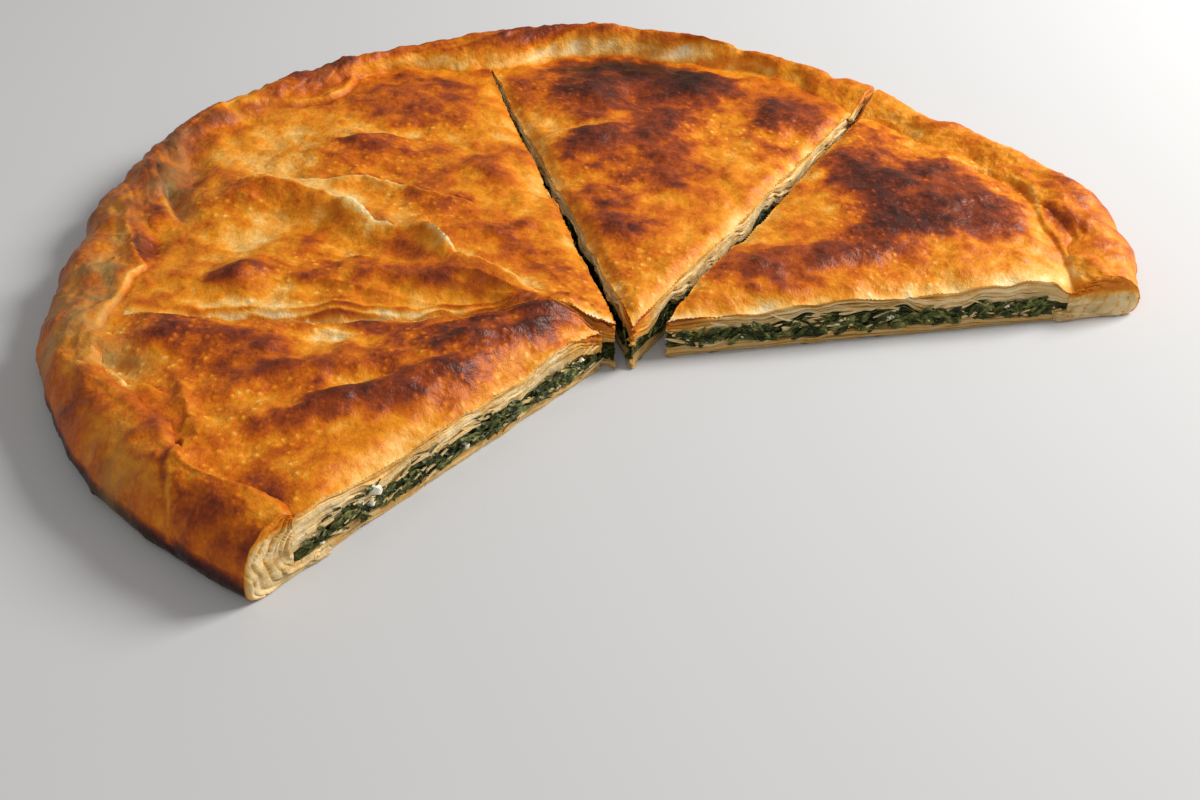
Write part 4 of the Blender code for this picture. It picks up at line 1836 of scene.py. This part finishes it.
    def end_paths(self, piece: Piece, at_cut: Places) -> tuple:
        """The skin's and the inner side's paths around a cut end, each as evenly spaced rows.

        Args:
            piece: the rim, already cut.
            at_cut: mask of its vertices at the cut.

        Returns:
            Two arrays of rows of positions, of the skin and of the inner side.
        """
        order = painted(piece, "place_in_section")[at_cut]
        part = painted(piece, "part")[at_cut]
        places = read_places(piece)[at_cut]
        bounds = np.cumsum((self.top_points, self.side_points, self.bottom_points)) - 0.5
        near_bound = np.min(np.abs(order[:, None] - bounds[None, :]), axis=1) < 0.6
        sound = near_bound | (np.abs(part - np.rint(part)) < 0.01)
        order, places = order[sound], places[sound]
        by_order = np.argsort(order)
        order, places = order[by_order], places[by_order]
        turn = int(bounds[2] + 0.5)
        last = turn + self.inner_points - 1
        paths = []
        for rows in (np.arange(0, turn), np.arange(last, turn - 1, -1)):
            path = np.column_stack([np.interp(rows, order, places[:, i]) for i in range(3)])
            run = np.concatenate(([0.0], np.cumsum(np.linalg.norm(np.diff(path, axis=0), axis=1))))
            even = np.linspace(0.0, run[-1], self.end_rows)
            paths.append(np.column_stack([np.interp(even, run, path[:, i]) for i in range(3)]))
        return tuple(paths)


# ---------------------------------------------------------------- filling's leaves and crumbs


@dataclass
class FillingBits:
    """Leaf shreds and feta crumbs that show at the cut faces of the filling."""

    forms: tuple
    finishes: Finishes
    seed: int = 500
    chunk_at: float = 0.099
    leaf_heights: tuple = (3.4, 8.2)
    fleck_heights: tuple = (8.5, 12.5)
    chunk_heights: tuple = (7.8, 12.6)
    chunk_flecks: int = 7

    def faces(self) -> Iterator[tuple]:
        """The cut faces that can be seen, each as its slice's form, its line and its cut.

        Yields:
            Each face.
        """
        for form in self.forms:
            for line, cut in ((form.first, form.spec.first_cut), (form.last, form.spec.last_cut)):
                if cut is not Cut.CREASE:
                    yield form, line, cut

    def spots(self, form: SliceForm, line: CutLine, spacing: float, rng: Random) -> list:
        """Places along a cut face of the filling, each with the directions out of and along the face.

        Args:
            form: the slice's form.
            line: the side of the cut.
            spacing: how many millimetres of the face there are to a place.
            rng: source of the random numbers.

        Returns:
            Each place with its two directions.
        """
        step, from_tip, before_fold = 0.002, 0.004, -0.35
        reach = 0.0
        place = np.array([[*form.tip, 0.0]])
        while PLAN.fold_share(*about_centre(place))[0] < before_fold:
            reach += step
            place = np.array([[*(form.tip + line.direction * reach), 0.0]])
        return [
            (form.tip + line.direction * rng.uniform(from_tip, reach), -line.inward, line.direction)
            for _ in range(int(reach / MM / spacing))
        ]

    def leaf(self, point: Vector, out: Vector, along: Vector, rng: Random, heights: tuple) -> Places:
        """One curled shred as rows of positions, at a height in millimetres between the two given.

        Args:
            point: place on the cut face.
            out: direction out of the face.
            along: direction along the face.
            rng: source of the random numbers.
            heights: lowest and highest level of the shred's middle.

        Returns:
            Rows of positions.
        """
        length = rng.uniform(2.5, 6.5) * MM
        width = rng.uniform(1.0, 2.6) * MM
        curl = rng.uniform(-0.9, 0.9)
        turn = rng.uniform(-0.9, 0.9)
        height = rng.uniform(*heights) * MM
        u, v = np.meshgrid(np.linspace(-0.5, 0.5, 6), np.linspace(-0.5, 0.5, 4))
        u, v = u.ravel(), v.ravel()
        taper = np.sqrt(np.clip(1.0 - (2 * u) ** 2 * 0.85, 0.0, 1.0))
        a = u * length
        b = v * width * taper
        bow = (curl * (2 * u) ** 2 * 0.6 + 0.5 * np.sin(5 * v + 3 * u)) * 0.8 * MM
        bow += rng.uniform(-0.3, 0.5) * MM
        x = a * math.cos(turn) - b * math.sin(turn)
        z = a * math.sin(turn) + b * math.cos(turn)
        places = self.spread((point.x, point.y, height), (x, along), (bow, out), z)
        places[:, 2] = np.clip(places[:, 2], 2.6 * MM, max(10.4, heights[1] + 0.6) * MM)
        return places

    def thread(self, point: Vector, out: Vector, along: Vector, rng: Random) -> Places:
        """One torn strip of dough, nearly level, as rows of positions.

        Args:
            point: place on the cut face.
            out: direction out of the face.
            along: direction along the face.
            rng: source of the random numbers.

        Returns:
            Rows of positions.
        """
        length = rng.uniform(3.0, 12.0) * MM
        width = rng.uniform(0.4, 1.3) * MM
        turn = rng.uniform(-0.35, 0.35)
        u, v = np.meshgrid(np.linspace(-0.5, 0.5, 8), np.linspace(-0.5, 0.5, 3))
        u, v = u.ravel(), v.ravel()
        taper = np.sqrt(np.clip(1.0 - (2 * u) ** 2 * 0.9, 0.0, 1.0))
        wave = rng.uniform(-0.6, 0.6) * np.sin(4.0 * u + rng.uniform(0.0, 6.0)) * MM
        x = u * length * math.cos(turn)
        z = u * length * math.sin(turn) + v * width * taper + wave
        bow = rng.uniform(-0.4, 0.1) * MM + 0.5 * wave
        height = rng.uniform(2.2, 10.5) * MM
        places = self.spread((point.x, point.y, height), (x, along), (bow, out), z)
        places[:, 2] = np.clip(places[:, 2], 0.6 * MM, 14.0 * MM)
        return places

    def spread(self, base: tuple, level: tuple, bow: tuple, up: Places) -> Places:
        """Positions about a base, by an amount along each of two level directions and an amount upwards.

        Args:
            base: the position that they lie about.
            level: amounts and direction along the face.
            bow: amounts and direction out of the face.
            up: amounts upwards.

        Returns:
            Rows of positions.
        """
        places = np.array(base) + np.outer(up, (0.0, 0.0, 1.0))
        for amount, direction in (level, bow):
            places += np.outer(amount, (*direction, 0.0))
        return places

    def make_leaves(self) -> Piece:
        """All leaf shreds as one piece.

        Returns:
            The dressed piece.
        """
        rng = Random(self.seed)
        leaves = []
        tones = []
        for form, line, cut in self.faces():
            spacing = 0.8 if cut in PIE_ENDS else 3.5
            for spot in self.spots(form, line, spacing, rng):
                leaves.append(self.leaf(*spot, rng, self.leaf_heights))
                tones.append(np.full(len(leaves[-1]), rng.uniform(-0.08, 0.22)))
            if cut is not Cut.FRONT_END:
                continue
            flecks = [(spot, self.fleck_heights) for spot in self.spots(form, line, 7.0, rng)]
            chunk = (form.tip + line.direction * self.chunk_at, -line.inward, line.direction)
            for (point, out, along), heights in flecks + [(chunk, self.chunk_heights)] * self.chunk_flecks:
                fleck = self.leaf(point + along * rng.uniform(-2.5, 2.5) * MM, out, along, rng, heights)
                middle = fleck.mean(axis=0)
                leaves.append(middle + (fleck - middle) * 0.6)
                tones.append(np.full(len(fleck), rng.uniform(-0.05, 0.15)))
        piece = scatter("spinach_shreds", new_grid("shred", 5, 3), leaves)
        paint(piece, "tone", np.concatenate(tones))
        thicken(piece, 0.25)
        smooth_by_angle(piece, 60.0)
        dress(piece, self.finishes.spinach, [])
        return piece

    def make_threads(self) -> Piece:
        """Torn bits and threads of dough that hang over the filling, as one piece.

        Returns:
            The dressed piece.
        """
        rng = Random(self.seed + 2)
        threads = [
            self.thread(*spot, rng)
            for form, line, cut in self.faces() if cut in PIE_ENDS
            for spot in self.spots(form, line, 2.6, rng)
        ]
        damps = [np.full(len(places), rng.uniform(0.0, 0.4)) for places in threads]
        piece = scatter("dough_threads", new_grid("thread", 7, 2), threads)
        paint(piece, "bake", np.full(len(piece.data.vertices), 0.03))
        paint(piece, "damp", np.concatenate(damps))
        thicken(piece, 0.35)
        smooth_by_angle(piece, 60.0)
        dress(piece, self.finishes.crust, [])
        return piece

    def make_feta(self) -> Piece:
        """All feta crumbs as one piece.

        Returns:
            The dressed piece.
        """
        rng = Random(self.seed + 1)
        deselect_all()
        bpy.ops.mesh.primitive_ico_sphere_add(subdivisions=2, radius=1.0)
        model = bpy.context.object
        ball = read_places(model)

        def crumb(sizes: tuple) -> Places:
            """One uneven crumb about the origin, of half sizes in millimetres."""
            return ball * np.array(sizes) * MM * (1.0 + 0.22 * rng.uniform(-1.0, 1.0, (len(ball), 1)))

        crumbs = []
        for form, line, cut in self.faces():
            spacing = 14.0 if cut in PIE_ENDS else 40.0
            for point, out, _ in self.spots(form, line, spacing, rng):
                size = rng.uniform(0.6, 1.6)
                places = crumb((size, 0.8 * size, 0.75 * size))
                point = point - out * 0.4 * size * MM
                crumbs.append(places + np.array((point.x, point.y, rng.uniform(3.8, 9.0) * MM)))
            if cut is Cut.FRONT_END:
                point = form.tip + line.direction * self.chunk_at - line.inward * 0.4 * MM
                crumbs.append(crumb((1.9, 1.3, 1.7)) + np.array((point.x, point.y, 10.4 * MM)))
        piece = scatter("feta_crumbs", model, crumbs)
        smooth_by_angle(piece, 40.0)
        dress(piece, self.finishes.feta, [])
        return piece


# ---------------------------------------------------------------- the stage


@dataclass
class Studio:
    """Floor, lights and camera."""

    elevation: float = 34.457
    roll: float = 2.496
    distance: float = 0.5437
    aim: tuple = (0.001, -0.0487)
    lens: float = 54.386
    floor_size: float = 30.0
    floor_drop: float = 0.0002
    floor_colour: tuple = (0.52, 0.53, 0.55, 1.0)
    sky_colour: tuple = (1.0, 0.96, 0.91, 1.0)
    sky_strength: float = 0.31

    def build(self) -> None:
        """Builds the stage."""
        self.make_floor()
        self.make_world()
        self.make_light("key", (0.85, 0.38, 0.70), 0.50, 20.0, (1.0, 0.97, 0.92))
        self.make_light("fill", (-0.15, -1.3, 1.1), 1.2, 6.3, (1.0, 0.97, 0.93))
        self.make_camera()

    def make_floor(self) -> None:
        """A pale floor."""
        deselect_all()
        bpy.ops.mesh.primitive_plane_add(size=self.floor_size, location=(0.0, 0.0, -self.floor_drop))
        floor = bpy.context.object
        floor.name = "studio_floor"
        material, tree, shader = new_material("pale_floor")
        feed(tree, shader, {"Base Color": self.floor_colour, "Roughness": 0.8})
        floor.data.materials.append(material)

    def make_world(self) -> None:
        """Soft light from all round."""
        world = bpy.data.worlds.new("studio")
        world.use_nodes = True
        sky = {"Color": self.sky_colour, "Strength": self.sky_strength}
        feed(world.node_tree, world.node_tree.nodes["Background"], sky)
        bpy.context.scene.world = world
        bpy.context.scene.view_settings.view_transform = "Standard"

    def make_light(self, name: str, place: tuple, size: float, power: float, colour: tuple) -> None:
        """A soft square light aimed at the pie.

        Args:
            name: the light's name.
            place: its position in metres.
            size: its side in metres.
            power: its power in watts.
            colour: its colour.
        """
        data = bpy.data.lights.new(name, "AREA")
        data.size = size
        data.energy = power
        data.color = colour
        light = bpy.data.objects.new(name, data)
        light.location = place
        light.rotation_euler = (-Vector(place)).to_track_quat("-Z", "Y").to_euler()
        bpy.context.scene.collection.objects.link(light)

    def make_camera(self) -> None:
        """The camera, looking down from the front."""
        tilt, roll = math.radians(self.elevation), math.radians(self.roll)
        forward = Vector((0.0, math.cos(tilt), -math.sin(tilt)))
        level = Vector((1.0, 0.0, 0.0))
        upright = Vector((0.0, math.sin(tilt), math.cos(tilt)))
        right = level * math.cos(roll) + upright * math.sin(roll)
        up = upright * math.cos(roll) - level * math.sin(roll)
        target = Vector((CENTRE.x + self.aim[0], CENTRE.y + self.aim[1], 0.0))
        place = target - forward * self.distance
        data = bpy.data.cameras.new("camera")
        data.lens = self.lens
        data.sensor_width = 36.0
        data.clip_start = 0.01
        camera = bpy.data.objects.new("camera", data)
        camera.matrix_world = Matrix((
            (right.x, up.x, -forward.x, place.x),
            (right.y, up.y, -forward.y, place.y),
            (right.z, up.z, -forward.z, place.z),
            (0.0, 0.0, 0.0, 1.0),
        ))
        bpy.context.scene.collection.objects.link(camera)
        bpy.context.scene.camera = camera


def build_pieces(finishes: Finishes) -> Iterator[Piece]:
    """Builds the pie's pieces in order.

    Args:
        finishes: the materials.

    Yields:
        Each dressed piece.
    """
    parts = [Slice(spec, finishes) for spec in SLICES]
    for part in parts:
        yield part.make_filling()
        yield part.make_floor()
    for spec, numbers in ((SLICES[0], (1,)), (JOINED_TOP, (2, 3)), (SLICES[3], (4,)), (SLICES[4], (5,))):
        yield Slice(spec, finishes).make_top([f"slice_{number}_top" for number in numbers])
    yield Rim("rim_left", SLICES[3::-1], finishes).build()
    yield Rim("rim_right", SLICES[4:], finishes, crust_down_to=6.5).build()
    bits = FillingBits(tuple(part.form for part in parts), finishes)
    yield bits.make_leaves()
    yield bits.make_threads()
    yield bits.make_feta()


def main() -> None:
    """Builds the pie's looks in order."""
    logging.basicConfig(level=logging.INFO, format="%(message)s")
    crust = BakedFilo("baked_filo").make(make_mottle_group())
    finishes = Finishes(crust, CookedSpinach("cooked_spinach").make(), FetaCrumb("feta").make())
    for piece in build_pieces(finishes):
        LOG.info("%s: %d faces", piece.name, len(piece.data.polygons))
    Studio().build()


if __name__ == "__main__":
    main()
